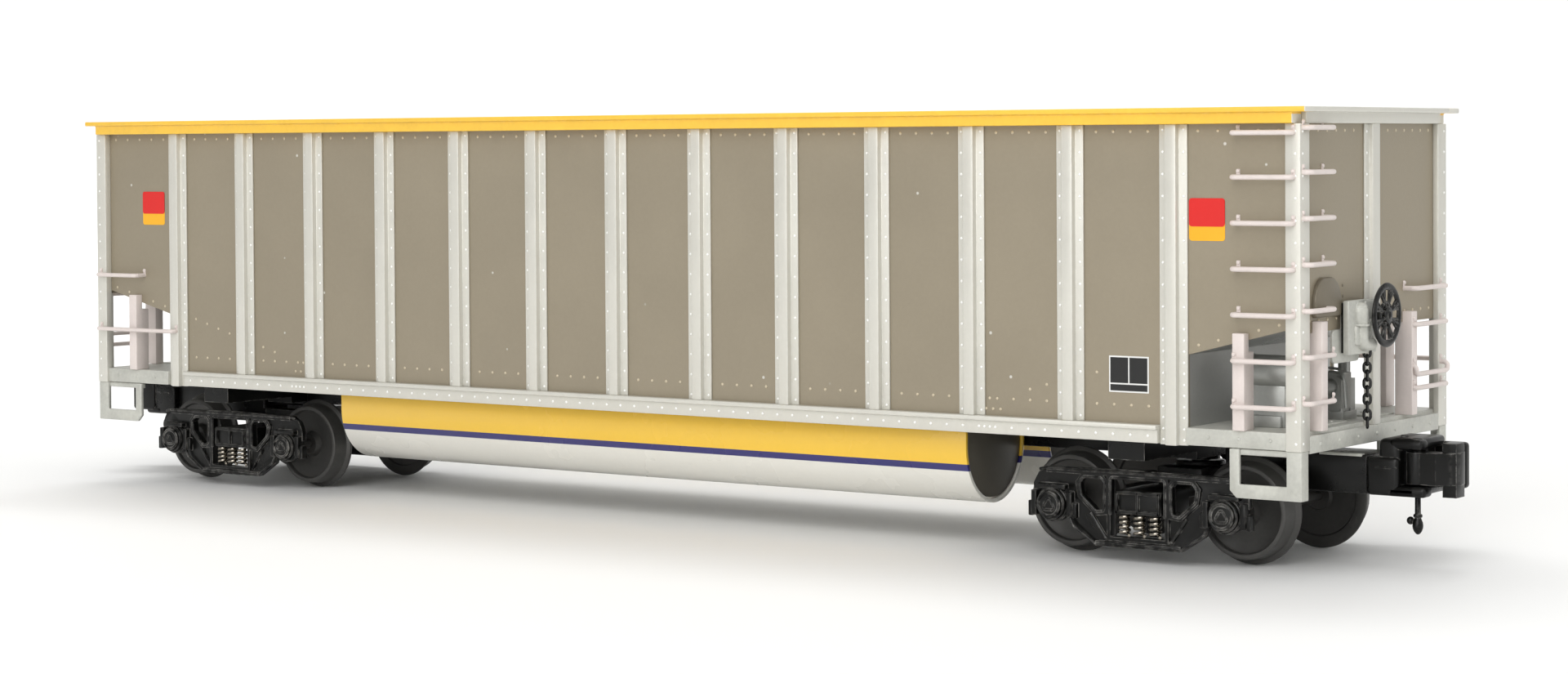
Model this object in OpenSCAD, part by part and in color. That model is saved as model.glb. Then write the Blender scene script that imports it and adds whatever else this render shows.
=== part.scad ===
// Open-top twin-tub coal wagon, an O gauge model on two swivelling trucks.
// +X points to the brake end, +Z is up, z = 0 at the bottom of the wheel flanges.

/* [Body] */
// Length over the corner posts
body_length = 326.8; // [300:0.1:400]
// Width over the side posts
body_width = 65.4; // [60:0.1:80]
// Height of the top of the chord
body_top = 88; // [76:0.1:100]
// Underside of the side sills
sill_bottom = 24.3; // [24:0.1:28]
// Height of the side sills
sill_height = 3.5; // [3:0.1:5]
// Thickness of the side and end sheets
sheet = 1; // [0.8:0.05:1.4]
// Thickness of the floor
floor_sheet_t = 1; // [0.8:0.05:1.4]

/* [Top chord] */
// Height of the top chord
chord_height = 3.1; // [2.6:0.1:4]
// Overhang of the chord flange past the corner posts
chord_overhang = 2; // [1:0.1:3]
// Thickness of the chord flange
chord_flange = 1; // [0.8:0.1:1.4]

/* [Side posts] */
// Posts on each side
post_count = 13; // [9:1:13]
// Depth of a post in front of the sheet
post_depth = 1.7; // [1.2:0.1:2.4]
// Width of the face of a post
post_face = 2.4; // [1.8:0.1:3]
// Width of each riveted flange of a post
post_flange = 1.8; // [1.2:0.1:2.4]
// Thickness of the flanges
post_flange_t = 0.45; // [0.35:0.05:0.8]
// Width of the side leg of a corner post
corner_leg = 3.1; // [2.6:0.1:4]

/* [End bays] */
// Length of an open bay from its bulkhead to the corner posts
bay_length = 24.5; // [20:0.1:30]
// Height of the slope sheet at the end wall
slope_high = 46.9; // [42:0.1:52]
// Height of the slope sheet at the bulkhead
slope_low = 41.3; // [36:0.1:41.5]
// Thickness of the platform deck
deck_t = 1; // [0.8:0.1:1.6]
// Underside of the end beam
end_beam_bottom = 23.6; // [23.6:0.1:24]

/* [Tubs] */
// Length of a tub
tub_length = 173; // [150:0.5:178]
// Width of a tub
tub_width = 22.3; // [18:0.1:22.8]
// Depth of a tub under the floor
tub_depth = 16; // [12:0.1:18]
// Straight upper part of the sides of a tub
tub_straight = 4; // [3:0.1:7]
// Thickness of the tub sheet
tub_sheet = 1.1; // [0.9:0.05:1.4]
// Distance from the centre line to a tub
tub_from_centre = 4.7; // [4.7:0.1:6]

/* [Trucks] */
// Distance between the truck centres
truck_centres = 250; // [236:0.5:256]
// Distance between the axles of a truck
wheelbase = 38.1; // [31:0.05:41]
// Radius of the tread beside the flange
tread_radius = 9.4; // [8.6:0.05:9.8]
// Depth of the wheel flange
flange_depth = 1.1; // [0.8:0.05:1.3]
// Width of a wheel with its flange
wheel_width = 4.6; // [4:0.1:5]
// Outer face of the wheels from the centre line
wheel_face = 18.7; // [18:0.1:19]
// Radius of the axle
axle_radius = 1; // [0.8:0.05:1.3]
// Inner face of the side frames from the centre line
frame_inner = 23.8; // [23:0.1:24.4]
// Thickness of the side frames
frame_t = 2; // [1.8:0.1:2.4]
// Radius of the king pin
king_pin_radius = 1.75; // [1.4:0.05:2.4]

/* [Couplers] */
// Reach of the coupler nose past the corner posts
coupler_reach = 18.3; // [16:0.1:20]
// Half width of the coupler arm
arm_half = 6; // [4.5:0.1:6.4]
// Radius of the knuckle pin
knuckle_pin_radius = 0.8; // [0.6:0.05:1]

/* [Ladders and steps] */
// Radius of a ladder rung
rung_radius = 0.5; // [0.4:0.05:0.7]
// Distance of the rungs in front of the posts
rung_reach = 1.5; // [1.1:0.1:2]
// Length of a side rung
side_rung = 13.2; // [11:0.1:15]
// Length of an end rung
end_rung = 11.5; // [10:0.1:13]
// Distance from rung to rung
rung_pitch = 8.55; // [7:0.05:9.2]
// Lowest rung
rung_low = 32.2; // [31:0.1:34]
// Length of a stirrup step
step_length = 14.9; // [12:0.1:17]
// Bottom of the stirrup steps
step_bottom = 15; // [14:0.1:18]
// Thickness of the stirrup steps
step_t = 0.9; // [0.7:0.05:1.2]

/* [Brake gear] */
// Radius of the brake wheel
brake_wheel_radius = 6.2; // [5:0.1:7]
// Height of the centre of the brake wheel
brake_wheel_z = 48.3; // [46:0.1:52]
// Brake wheel from the centre line
brake_wheel_y = -4; // [-5:0.1:-3.2]
// Radius of the air reservoir
reservoir_radius = 3.3; // [2.6:0.1:3.6]
// Length of the air reservoir
reservoir_length = 12.5; // [10:0.1:13.5]

/* [Fits] */
// Radial clearance of the pins and axles
fit = 0.06; // [0.03:0.01:0.1]
// Gap between faces that slide past each other
slide_gap = 0.3; // [0.2:0.05:0.5]

/* [Hidden] */
$fn = 32;

taupe = "#a39a86";
silver = "#c9c9c0";
pale_pink = "#ded5cf";
yellow = "#f0c844";
cream = "#e4e2d8";
dark_grey = "#45423c";
black = "#232323";
mid_grey = "#8c918c";
steel = "#b8b8b8";

// Planes of the body
face_x = body_length / 2;
face_y = body_width / 2;
sheet_y = face_y - post_depth;
inner_y = sheet_y - sheet;
end_t = 1.2;
sheet_x = face_x - end_t;
inner_x = sheet_x - sheet;
chord_bottom = body_top - chord_height;
sill_top = sill_bottom + sill_height;
floor_bottom = sill_bottom + 0.2;
floor_top = floor_bottom + floor_sheet_t;
bulkhead_x = face_x - bay_length;
floor_x = bulkhead_x - sheet;
deck_top = sill_top - 0.2;
deck_bottom = deck_top - deck_t;

// Posts
post_foot = post_face + 2 * post_flange;
last_post = (post_count - 1) / 2;
last_post_x = bulkhead_x - 2.7;
post_pitch = last_post_x / last_post;
sill_ledge_t = 0.9;
sill_ledge_out = 0.5;

// Trucks
truck_x = truck_centres / 2;
axle_z = tread_radius + flange_depth;
half_base = wheelbase / 2;
frame_outer = frame_inner + frame_t;
axle_tip = frame_inner + 1.2;
truck_plate_top = 18;
body_plate_bottom = truck_plate_top + slide_gap;
truck_bolster_low = 12;
spring_bottom = 4.9;
spring_top = 9.4;
spring_pitch = 3.4;
spring_radius = 1;
bolster_half = 5;

// Couplers, measured along X from the truck centre
arm_bottom = 14;
arm_top = 21.4;
head_back = face_x + 0.8 - truck_x;
nose_x = face_x + coupler_reach - truck_x;
pin_x = nose_x - 8;
pin_y = -4.2;
guard_y = 5.3;
head_bottom = 14;
head_top = 24.9;

// Ladders and grab irons
side_rung_x = face_x - 0.9 - side_rung;
rung_y = face_y + rung_reach;
rung_x = face_x + rung_reach;
rung_count = 7;
foot_radius = rung_radius - 0.1;
foot_inset = rung_radius + 0.1;
stile_w = 2.5;
stile_d = 3;
stile_top = slope_high - 1.1;
end_stile_top = stile_top + 2.2;
end_ladder_y = -face_y + 8.3;
end_grab_y = face_y - 17.3;
top_rung_drop = 0.3;
end_rung_lift = 0.9;
end_grab_steps = [0.7, 5, 13.2, 20.3];

// Brake gear
housing_y0 = brake_wheel_y - 11.2;
housing_y1 = brake_wheel_y - 2.2;
housing_x1 = face_x + 2.6;
housing_low = brake_wheel_z - 6.3;
housing_high = brake_wheel_z + 3.1;
hub_x = housing_x1 + 0.4;
chain_x = face_x + 0.9;
chain_y = housing_y1 - 0.1;
reservoir_x = bulkhead_x + 7;
reservoir_y = -face_y + 12.1;
reservoir_z = deck_top + 10.2;
seat_gap = 0.04;
valve_x = bulkhead_x + 12.1;

module half_turn() {
  rotate([0, 0, 180]) children();
}

module both_sides() {
  children();
  mirror([0, 1, 0]) children();
}

module block(low, high) {
  translate(low) cube(high - low);
}

// A bar of round section from one point to another along X, Y or Z
module rod(from, to, r) {
  d = to - from;
  turn = abs(d.x) > 0 ? [0, sign(d.x) * 90, 0]
    : abs(d.y) > 0 ? [-sign(d.y) * 90, 0, 0]
    : [0, d.z < 0 ? 180 : 0, 0];
  translate(from) rotate(turn) cylinder(r = r, h = norm(d), $fn = 24);
}

// ---------------------------------------------------------------- body shell

module side_sheet() {
  slope = (slope_high - slope_low) / (inner_x - bulkhead_x);
  end_low = slope_high + slope * sheet;
  outline = [
    [-bulkhead_x, floor_bottom], [bulkhead_x, floor_bottom], [bulkhead_x, slope_low],
    [sheet_x, end_low], [sheet_x, chord_bottom], [-sheet_x, chord_bottom],
    [-sheet_x, end_low], [-bulkhead_x, slope_low]
  ];
  color(taupe) translate([0, -inner_y, 0]) rotate([90, 0, 0]) linear_extrude(sheet) polygon(outline);
}

module end_sheet() {
  color(taupe) block([inner_x, -inner_y, slope_high - sheet], [sheet_x, inner_y, chord_bottom]);
}

// The slope sheet falls from the end wall to a bulkhead that closes the end of the floor
module slope_sheet() {
  outline = [
    [inner_x, slope_high], [bulkhead_x, slope_low], [bulkhead_x, floor_bottom],
    [floor_x, floor_bottom], [floor_x, slope_low + sheet],
    [inner_x, slope_high + sheet]
  ];
  color(taupe) translate([0, inner_y, 0]) rotate([90, 0, 0]) linear_extrude(2 * inner_y) polygon(outline);
}

module floor_sheet() {
  hole_x = tub_length / 2 - tub_sheet;
  hole_low = tub_from_centre + tub_sheet;
  hole_high = tub_from_centre + tub_width - tub_sheet;
  color(taupe) difference() {
    block([-floor_x, -inner_y, floor_bottom], [floor_x, inner_y, floor_top]);
    both_sides() block([-hole_x, hole_low, floor_bottom - 1], [hole_x, hole_high, floor_top + 1]);
  }
}

// Outline of a tub across the wagon: straight sides over a half ellipse
function tub_outline(inset) = let(
  a = tub_width / 2 - inset,
  b = tub_depth - tub_straight - inset,
  steps = 24
) concat(
  [[a, 0]],
  [for (i = [0:steps]) let(t = -180 * i / steps) [a * cos(t), -tub_straight + b * sin(t)]],
  [[-a, 0]]
);

module tub_place() {
  centre = tub_from_centre + tub_width / 2;
  translate([0, -centre, floor_bottom]) rotate([90, 0, 90]) children();
}

module tub() {
  color(cream) tub_place() translate([0, 0, -tub_length / 2]) linear_extrude(tub_length) difference() {
    polygon(tub_outline(0));
    polygon(concat([[tub_width / 2 - tub_sheet, 1]], tub_outline(tub_sheet), [[tub_sheet - tub_width / 2, 1]]));
  }
}

// The end plates sit inside the ends of the tubs, a little behind their rims
module tub_end_plates() {
  setback = 0.4;
  plate = 1;
  color(dark_grey) both_sides() tub_place() for (end = [-1, 1])
    translate([0, 0, end * (tub_length / 2 - setback - plate / 2) - plate / 2])
      linear_extrude(plate) polygon(tub_outline(tub_sheet));
}

module centre_sill() {
  half = 3.6;
  reach = truck_x - 4;
  color(black) block([-reach, -half, body_plate_bottom + 0.7], [reach, half, floor_bottom]);
}

// Cross beam over a truck, with the centre plate and the king pin under it
module body_bolster() {
  half = 4;
  plate_r = 3.9;
  pin_low = truck_bolster_low - slide_gap - 1;
  color(black) translate([truck_x, 0, 0]) {
    block([-half, -inner_y, 20.5], [half, inner_y, floor_bottom]);
    block([-half, -9, body_plate_bottom + 0.7], [half, 9, 21]);
    translate([0, 0, body_plate_bottom]) cylinder(r = plate_r, h = 1.5, $fn = 48);
    translate([0, 0, pin_low]) cylinder(r = king_pin_radius, h = body_plate_bottom - pin_low + 1, $fn = 32);
    translate([0, 0, pin_low]) cylinder(r = king_pin_radius + 1.2, h = 1, $fn = 32);
  }
}

module side_sill() {
  end_x = last_post_x - post_foot / 2;
  color(silver) {
    block([-end_x, -face_y + 0.2, sill_bottom], [end_x, -sheet_y, sill_top - sill_ledge_t]);
    block([-end_x, -face_y - sill_ledge_out, sill_top - sill_ledge_t], [end_x, -sheet_y, sill_top]);
  }
}

module platform() {
  beam_x = last_post_x + post_foot / 2;
  side_out = face_y - 0.5;
  color(silver) {
    block([bulkhead_x, -sheet_y, deck_bottom], [sheet_x, sheet_y, deck_top]);
    both_sides() block([beam_x, -side_out, sill_bottom], [face_x - corner_leg, 0.6 - sheet_y, deck_top]);
    difference() {
      block([face_x - 2.4, -sheet_y + 1.2, end_beam_bottom], [face_x, sheet_y - 1.2, deck_top - 0.7]);
      both_sides() block([sheet_x, -sheet_y - 1, 0], [face_x + 1, -sheet_y + 2.2, deck_top + 1]);
    }
  }
}

// Hat section: a raised face between two riveted flanges
module post(low, high) {
  half = post_face / 2;
  foot = post_foot / 2;
  outline = [
    [-foot, 0], [-foot, post_flange_t], [-half, post_flange_t], [-half, post_depth],
    [half, post_depth], [half, post_flange_t], [foot, post_flange_t], [foot, 0]
  ];
  translate([0, -sheet_y, low]) mirror([0, 1, 0]) linear_extrude(high - low) polygon(outline);
}

module side_posts() {
  color(silver) for (i = [-last_post:last_post])
    translate([i * post_pitch, 0, 0]) post(abs(i) == last_post ? sill_bottom - 0.2 : sill_top, chord_bottom);
}

module corner_posts() {
  outline = [
    [face_x, -face_y], [face_x, 2.2 - sheet_y], [sheet_x, 2.2 - sheet_y], [sheet_x, -sheet_y],
    [face_x - corner_leg, -sheet_y], [face_x - corner_leg, -face_y]
  ];
  color(silver) for (end = [0, 1]) mirror([end, 0, 0]) both_sides()
    translate([0, 0, sill_bottom - 0.1]) linear_extrude(chord_bottom - sill_bottom + 0.1) polygon(outline);
}

module end_posts() {
  half = 1.6;
  foot = 3.4;
  flange = 0.4;
  outline = [
    [sheet_x, -foot], [sheet_x + flange, -foot], [sheet_x + flange, -half], [face_x, -half],
    [face_x, half], [sheet_x + flange, half], [sheet_x + flange, foot], [sheet_x, foot]
  ];
  color(silver) for (end = [0, 1]) mirror([end, 0, 0])
    translate([0, 0, deck_top - 0.7]) difference() {
      linear_extrude(chord_bottom - deck_top + 0.7) polygon(outline);
      block([sheet_x - 4, -5, -1], [sheet_x, 5, 0.7]);
    }
}

module side_chord() {
  end_x = face_x - 1;
  flange_x = face_x + chord_overhang;
  flange_y = face_y + 1.9;
  color(yellow) {
    block([-end_x, -face_y - 1.2, chord_bottom], [end_x, -inner_y, body_top - chord_flange]);
    block([-flange_x, -flange_y, body_top - chord_flange], [flange_x, -inner_y, body_top]);
  }
}

module end_chord() {
  flange_x = face_x + chord_overhang;
  color(silver) {
    block([inner_x, -inner_y, chord_bottom], [face_x, inner_y, body_top - chord_flange]);
    block([inner_x, -inner_y, body_top - chord_flange], [flange_x, inner_y, body_top]);
  }
}

// ------------------------------------------------- ladders, grabs and steps

// Side stile, a box post that stands on the deck and overlaps the side sheet
module side_stile() {
  x = side_rung_x + 0.1;
  block([x, -face_y - 0.3, deck_top], [x + stile_w, -sheet_y, stile_top]);
  block([x, -sheet_y, deck_top], [x + stile_w, -sheet_y + stile_d - 1, slope_low + 1]);
}

module end_stile(y) {
  block([sheet_x, y - stile_w / 2, deck_top], [face_x + 0.9, y + stile_w / 2, end_stile_top]);
  block([sheet_x - 1.6, y - stile_w / 2, deck_top], [sheet_x, y + stile_w / 2, slope_high - sheet]);
}

module ladder_stiles() {
  color(pale_pink) for (turn = [0, 180]) rotate([0, 0, turn]) {
    side_stile();
    mirror([1, 0, 0]) side_stile();
    end_stile(end_ladder_y);
    end_stile(end_grab_y);
  }
}

// A rung along X with a foot at each end that reaches back to its seat
module side_iron(x0, x1, z, seat0, seat1) {
  rod([x0, -rung_y, z], [x1, -rung_y, z], rung_radius);
  for (foot = [[x0 + foot_inset, seat0], [x1 - foot_inset, seat1]])
    rod([foot[0], -rung_y, z], [foot[0], -foot[1], z], foot_radius);
}

// A rung along Y in front of the end
module end_iron(y0, y1, z, seat0, seat1) {
  rod([rung_x, y0, z], [rung_x, y1, z], rung_radius);
  for (foot = [[y0 + foot_inset, seat0], [y1 - foot_inset, seat1]])
    rod([rung_x, foot[0], z], [foot[1], foot[0], z], foot_radius);
}

module ladder() {
  x1 = side_rung_x + side_rung;
  y0 = -face_y + 0.6;
  color(pale_pink) for (i = [0:rung_count - 1]) {
    z = rung_low + i * rung_pitch - (i == rung_count - 1 ? top_rung_drop : 0);
    end_z = z + end_rung_lift;
    on_sheet = z > stile_top;
    side_iron(side_rung_x, x1, z, on_sheet ? sheet_y : face_y + 0.3, face_y);
    end_iron(y0, y0 + end_rung, end_z, face_x, end_z > end_stile_top ? sheet_x : face_x + 0.9);
  }
}

module grab_irons() {
  x0 = -face_x + 0.9;
  low = rung_low + 5.2;
  high = low + 13.2;
  color(pale_pink) {
    side_iron(x0, x0 + 14.6, high, face_y, sheet_y);
    side_iron(x0, -last_post_x + 1.1, low, face_y, face_y);
    for (step = end_grab_steps) let(z = rung_low + step)
      mirror([1, 0, 0]) end_iron(2.5 - face_y, 1 - end_grab_y, z, face_x, z > end_stile_top ? sheet_x : face_x + 0.9);
  }
}

// Stirrup step: a flat frame under the corner that turns round it
module step() {
  leg = 2;
  wide = 3.1;
  clip = 1.4;
  x1 = face_x;
  x0 = x1 - step_length;
  z1 = sill_bottom - 0.1;
  z0 = step_bottom;
  y = face_y - 0.2;
  hole = [[x0 + leg, z1], [x0 + leg, z0 + 2.6], [x1 - wide, z0 + 2.6], [x1 - wide, z1]];
  outer = [[x0, z1], [x0, z0 + clip], [x0 + clip, z0], [x1, z0], [x1, z1]];
  color(silver) translate([0, -y, 0]) {
    rotate([90, 0, 0]) translate([0, 0, -step_t]) linear_extrude(step_t) difference() {
      polygon(outer);
      polygon(hole);
    }
    block([x1 - step_t, step_t, z0], [x1, 3, z1]);
    block([x0, step_t, z1 - 1.2], [x1 - step_t, 1.5, z1]);
  }
}

// ------------------------------------------------------------- brake gear

module brake_housing() {
  drum = 1.6;
  color(mid_grey) {
    block([sheet_x, housing_y0 + drum, housing_low], [housing_x1 - 0.6, housing_y1, housing_high]);
    block([sheet_x, housing_y0, housing_low + 1.5], [housing_x1, housing_y0 + drum, housing_high - 0.8]);
    rod([face_x, brake_wheel_y, brake_wheel_z], [hub_x, brake_wheel_y, brake_wheel_z], 1.4);
    block([sheet_x, housing_y1, housing_low + 2.6], [face_x + drum, brake_wheel_y, housing_high - 1.4]);
  }
}

module brake_wheel() {
  rim = 0.55;
  spokes = 8;
  color(black) translate([hub_x, brake_wheel_y, brake_wheel_z]) rotate([0, 90, 0]) {
    translate([0, 0, 2 * rim]) rotate_extrude($fn = 64) translate([brake_wheel_radius - rim, 0]) circle(r = rim, $fn = 16);
    cylinder(r = 1.3, h = 1.6, $fn = 32);
    for (i = [0:spokes - 1]) rotate([0, 0, 360 * i / spokes])
      block([1, -0.35, 0.8], [brake_wheel_radius - rim, 0.35, 1.4]);
  }
}

module brake_chain() {
  half = 0.3;
  color(black) block([chain_x - half, chain_y - half, deck_top - 0.7], [chain_x + half, chain_y + half, housing_low]);
}

module air_reservoir() {
  crown = 0.7;
  color(mid_grey) translate([reservoir_x, reservoir_y, reservoir_z]) rotate([0, 90, 0]) {
    cylinder(r = reservoir_radius, h = reservoir_length, $fn = 48);
    translate([0, 0, -crown]) cylinder(r1 = reservoir_radius - 1, r2 = reservoir_radius, h = crown, $fn = 48);
    translate([0, 0, reservoir_length]) cylinder(r1 = reservoir_radius, r2 = reservoir_radius - 1, h = crown, $fn = 48);
  }
}

module reservoir_mount() {
  half = 2.4;
  x0 = reservoir_x + 1;
  x1 = reservoir_x + reservoir_length - 3;
  color(mid_grey) difference() {
    union() {
      block([x0, reservoir_y - half, deck_top], [x1, reservoir_y + half, reservoir_z - 1]);
      block([x0 - 1.2, reservoir_y - half - 0.9, deck_top], [x1 - 0.6, reservoir_y + half, deck_top + 2.2]);
    }
    rod([x0 - 3, reservoir_y, reservoir_z], [x1 + 3, reservoir_y, reservoir_z], reservoir_radius + seat_gap);
  }
}

// Valve block on its foot, with a side cylinder, and a second body that they are piped to
module control_valve() {
  foot_h = 1.6;
  valve_h = 9;
  body_h = 7.4;
  color(mid_grey) translate([valve_x, 0, deck_top]) {
    block([0, -3, 0], [6.6, 3.2, foot_h]);
    block([1.2, -2, foot_h], [5.8, 2.4, valve_h]);
    rod([3.5, -6, valve_h - 2.6], [3.5, -2, valve_h - 2.6], 1.5);
    block([-0.6, 4, 0], [3.8, 8.4, body_h]);
    block([0.4, 2.4, foot_h], [2.8, 4, body_h - 1.6]);
    rod([2.6, 6, body_h], [2.6, 6, body_h + 3.4], 1.2);
  }
}

// ------------------------------------------------------------------ trucks

// Signed area of an outline, and an outline moved outwards by d with mitred corners
function signed_area(points) = let(n = len(points))
  sum([for (i = [0:n - 1]) let(p = points[i], q = points[(i + 1) % n]) (p.x * q.y - q.x * p.y) / 2]);
function sum(list, i = 0) = i < len(list) ? list[i] + sum(list, i + 1) : 0;
function edge_normal(p, q) = let(d = q - p) [d.y, -d.x] / norm(d);
function grow(points, d) = let(
  n = len(points),
  out = d * sign(signed_area(points))
) [for (i = [0:n - 1]) let(
  before = edge_normal(points[(i + n - 1) % n], points[i]),
  after = edge_normal(points[i], points[(i + 1) % n])
) points[i] + out * (before + after) / (1 + before * after)];

// A raised rim around a hole
module rim(points, w, h) {
  linear_extrude(h) difference() {
    polygon(grow(points, w));
    polygon(points);
  }
}

// Side frame seen along Y, with its origin under the truck centre
frame_top = 17.7;
frame_low = 2.9;
frame_half = [
  [0, frame_top + 0.3], [half_base + 1.35, frame_top], [half_base + 3.55, 16.6], [half_base + 4.75, 14.4],
  [half_base + 4.75, 12], [half_base + 3.15, 12], [half_base + 3.15, 8.6],
  [half_base - 3.45, 8.6], [half_base - 4.45, 6.2], [9.4, frame_low], [0, frame_low]
];
frame_window = [
  [7.3, 15.2], [8.2, 16.2], [half_base - 7.05, 16.2], [half_base - 6.05, 15],
  [half_base - 6.45, 12.6], [9.2, 9.6], [7.5, 9.8]
];
frame_centre = [[-6, spring_bottom], [6, spring_bottom], [6, 16.4], [-6, 16.4]];

function flip(points) = [for (i = [len(points) - 1:-1:0]) [-points[i].x, points[i].y]];

module frame_at_side() {
  translate([0, -frame_inner, 0]) rotate([90, 0, 0]) children();
}

module truck_frame() {
  outline = concat(frame_half, [for (i = [len(frame_half) - 2:-1:1]) [-frame_half[i].x, frame_half[i].y]]);
  rim_h = 0.7;
  color(black) difference() {
    union() {
      frame_at_side() {
        linear_extrude(frame_t - rim_h) difference() {
          polygon(outline);
          polygon(frame_window);
          polygon(flip(frame_window));
          polygon(frame_centre);
        }
        translate([0, 0, frame_t - rim_h]) {
          rim(frame_window, 0.8, rim_h);
          rim(flip(frame_window), 0.8, rim_h);
          rim(frame_centre, 0.8, rim_h);
        }
        translate([-half_base - 1.35, frame_top - 1, 0]) cube([2 * half_base + 2.7, 1, frame_t]);
        translate([-9.4, frame_low, 0]) cube([18.8, 1, frame_t]);
      }
      for (side = [-1, 1]) translate([side * half_base, -frame_inner, axle_z]) rotate([90, 0, 0]) {
        cylinder(r = 3.6, h = frame_t - 0.2, $fn = 48);
        cylinder(r = 3, h = frame_t + 0.9, $fn = 48);
        cylinder(r = 2.6, h = frame_t + 1.7, $fn = 48);
      }
    }
    for (side = [-1, 1])
      rod([side * half_base, -axle_tip - 0.3, axle_z], [side * half_base, 1 - frame_inner, axle_z], axle_radius + fit);
  }
}

module truck_bolster() {
  end_y = frame_outer - 0.3;
  color(black) difference() {
    union() {
      block([-bolster_half, -end_y, spring_top], [bolster_half, end_y, 14]);
      block([-bolster_half, -9, truck_bolster_low], [bolster_half, 9, truck_plate_top - 0.8]);
      translate([0, 0, 14]) cylinder(r = bolster_half - 0.1, h = truck_plate_top - 14, $fn = 48);
    }
    block([-bolster_half - 1, -14, spring_top - 1], [bolster_half + 1, 14, truck_bolster_low]);
    cylinder(r = king_pin_radius + fit, h = 30, $fn = 32);
  }
}

module truck_springs() {
  y = frame_inner + frame_t / 2;
  color(steel) both_sides() for (i = [-1:1])
    translate([i * spring_pitch, -y, spring_bottom]) cylinder(r = spring_radius, h = spring_top - spring_bottom, $fn = 24);
}

// Arm that carries the coupler on the truck
module coupler_arm() {
  root = 8.6;
  color(black) {
    block([root, -arm_half, arm_bottom], [head_back, arm_half, arm_top]);
    block([bolster_half, -arm_half, arm_bottom], [root, arm_half, truck_plate_top - 0.8]);
  }
}

module coupler_head() {
  jaw_x = pin_x + 0.6;
  color(black) {
    difference() {
      union() {
        block([head_back, -7.2, head_bottom], [jaw_x + 2.2, 7.4, arm_top]);
        block([head_back + 2.4, -6.6, arm_top], [jaw_x + 1.4, 6.8, head_top]);
        block([jaw_x, guard_y, head_bottom + 0.8], [nose_x - 2.4, guard_y + 2.4, head_top - 1.2]);
      }
      translate([0, 0, head_bottom + 2.1]) linear_extrude(head_top - head_bottom - 4.2)
        polygon([
          [pin_x - 2.6, -12], [pin_x - 2.6, -1.4], [pin_x - 0.6, 1.4],
          [pin_x - 0.6, guard_y], [nose_x + 1, guard_y], [nose_x + 1, -12]
        ]);
      block([jaw_x + 0.4, -3.4, 0], [nose_x + 1, guard_y, 30]);
    }
    translate([pin_x, pin_y, head_bottom + 1]) cylinder(r = knuckle_pin_radius, h = head_top - head_bottom - 2, $fn = 24);
  }
}

module knuckle() {
  low = head_bottom + 2.1 + slide_gap;
  high = head_top - 2.1 - slide_gap;
  color(black) difference() {
    union() {
      translate([pin_x, pin_y, low]) cylinder(r = 2.1, h = high - low, $fn = 32);
      translate([0, 0, low]) linear_extrude(high - low) polygon([
        [pin_x - 1.6, pin_y - 1.4], [pin_x + 4.6, pin_y - 2.2], [nose_x - 1, pin_y - 0.6],
        [nose_x, pin_y + 1.6], [nose_x - 0.4, pin_y + 4.6], [nose_x - 3.4, pin_y + 4.6],
        [nose_x - 3.8, pin_y + 2.2], [pin_x + 1.2, pin_y + 2]
      ]);
      block([nose_x - 3.2, pin_y + 0.6, head_bottom], [nose_x - 0.4, pin_y + 4.4, head_top - 0.6]);
    }
    translate([pin_x, pin_y, 0]) cylinder(r = knuckle_pin_radius + fit, h = 40, $fn = 24);
  }
}

// Release pin that hangs under the coupler head: a stem with a collar, a bulb and a side knob
module coupler_pin() {
  stem = 0.65;
  bulb = 1.05;
  bulb_z = 7.6;
  knob_z = 9.2;
  collar_z = 10.1;
  neck = acos(stem / bulb);
  arc = [for (i = [0:12]) let(t = -90 + (90 + neck) * i / 12) [bulb * cos(t), bulb_z + bulb * sin(t)]];
  color(black) translate([head_back + 9, -3, 0]) {
    rotate_extrude($fn = 32) polygon(concat(arc, [
      [stem, collar_z], [1, collar_z], [1, collar_z + 1.2], [stem, collar_z + 1.2],
      [stem, head_bottom], [0, head_bottom]
    ]));
    rod([-1.4, 0, knob_z], [0, 0, knob_z], 0.4);
    rod([-2.3, 0, knob_z], [-1.1, 0, knob_z], 0.8);
  }
}

// Axle and two flanged wheels pressed on it, turned about Y
module wheelset() {
  back = wheel_face - wheel_width;
  flange_w = 0.9;
  rim_in = tread_radius - 1.3;
  bore = axle_radius + 0.02;
  color(black) rotate([90, 0, 0]) {
    translate([0, 0, -axle_tip]) cylinder(r = axle_radius, h = 2 * axle_tip);
    for (side = [0, 1]) mirror([0, 0, side]) rotate_extrude($fn = 96) polygon([
      [bore, back - 0.6], [2.6, back - 0.6], [2.6, back + 0.3], [rim_in, back + 0.3], [rim_in, back],
      [tread_radius + flange_depth - 0.4, back], [tread_radius + flange_depth, back + 0.4],
      [tread_radius + flange_depth - 0.2, back + 0.8], [tread_radius, back + flange_w + 0.5],
      [tread_radius - 0.25, wheel_face - 0.3], [tread_radius - 0.55, wheel_face], [rim_in, wheel_face],
      [rim_in - 0.3, wheel_face - 0.9], [3, wheel_face - 1.6], [2.6, wheel_face - 0.4],
      [bore, wheel_face - 0.4]
    ]);
  }
}

module truck_a() {
  translate([truck_x, 0, 0]) children();
}

module truck_b() {
  translate([-truck_x, 0, 0]) half_turn() children();
}

module axle_at(x) {
  translate([x, 0, axle_z]) wheelset();
}

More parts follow.
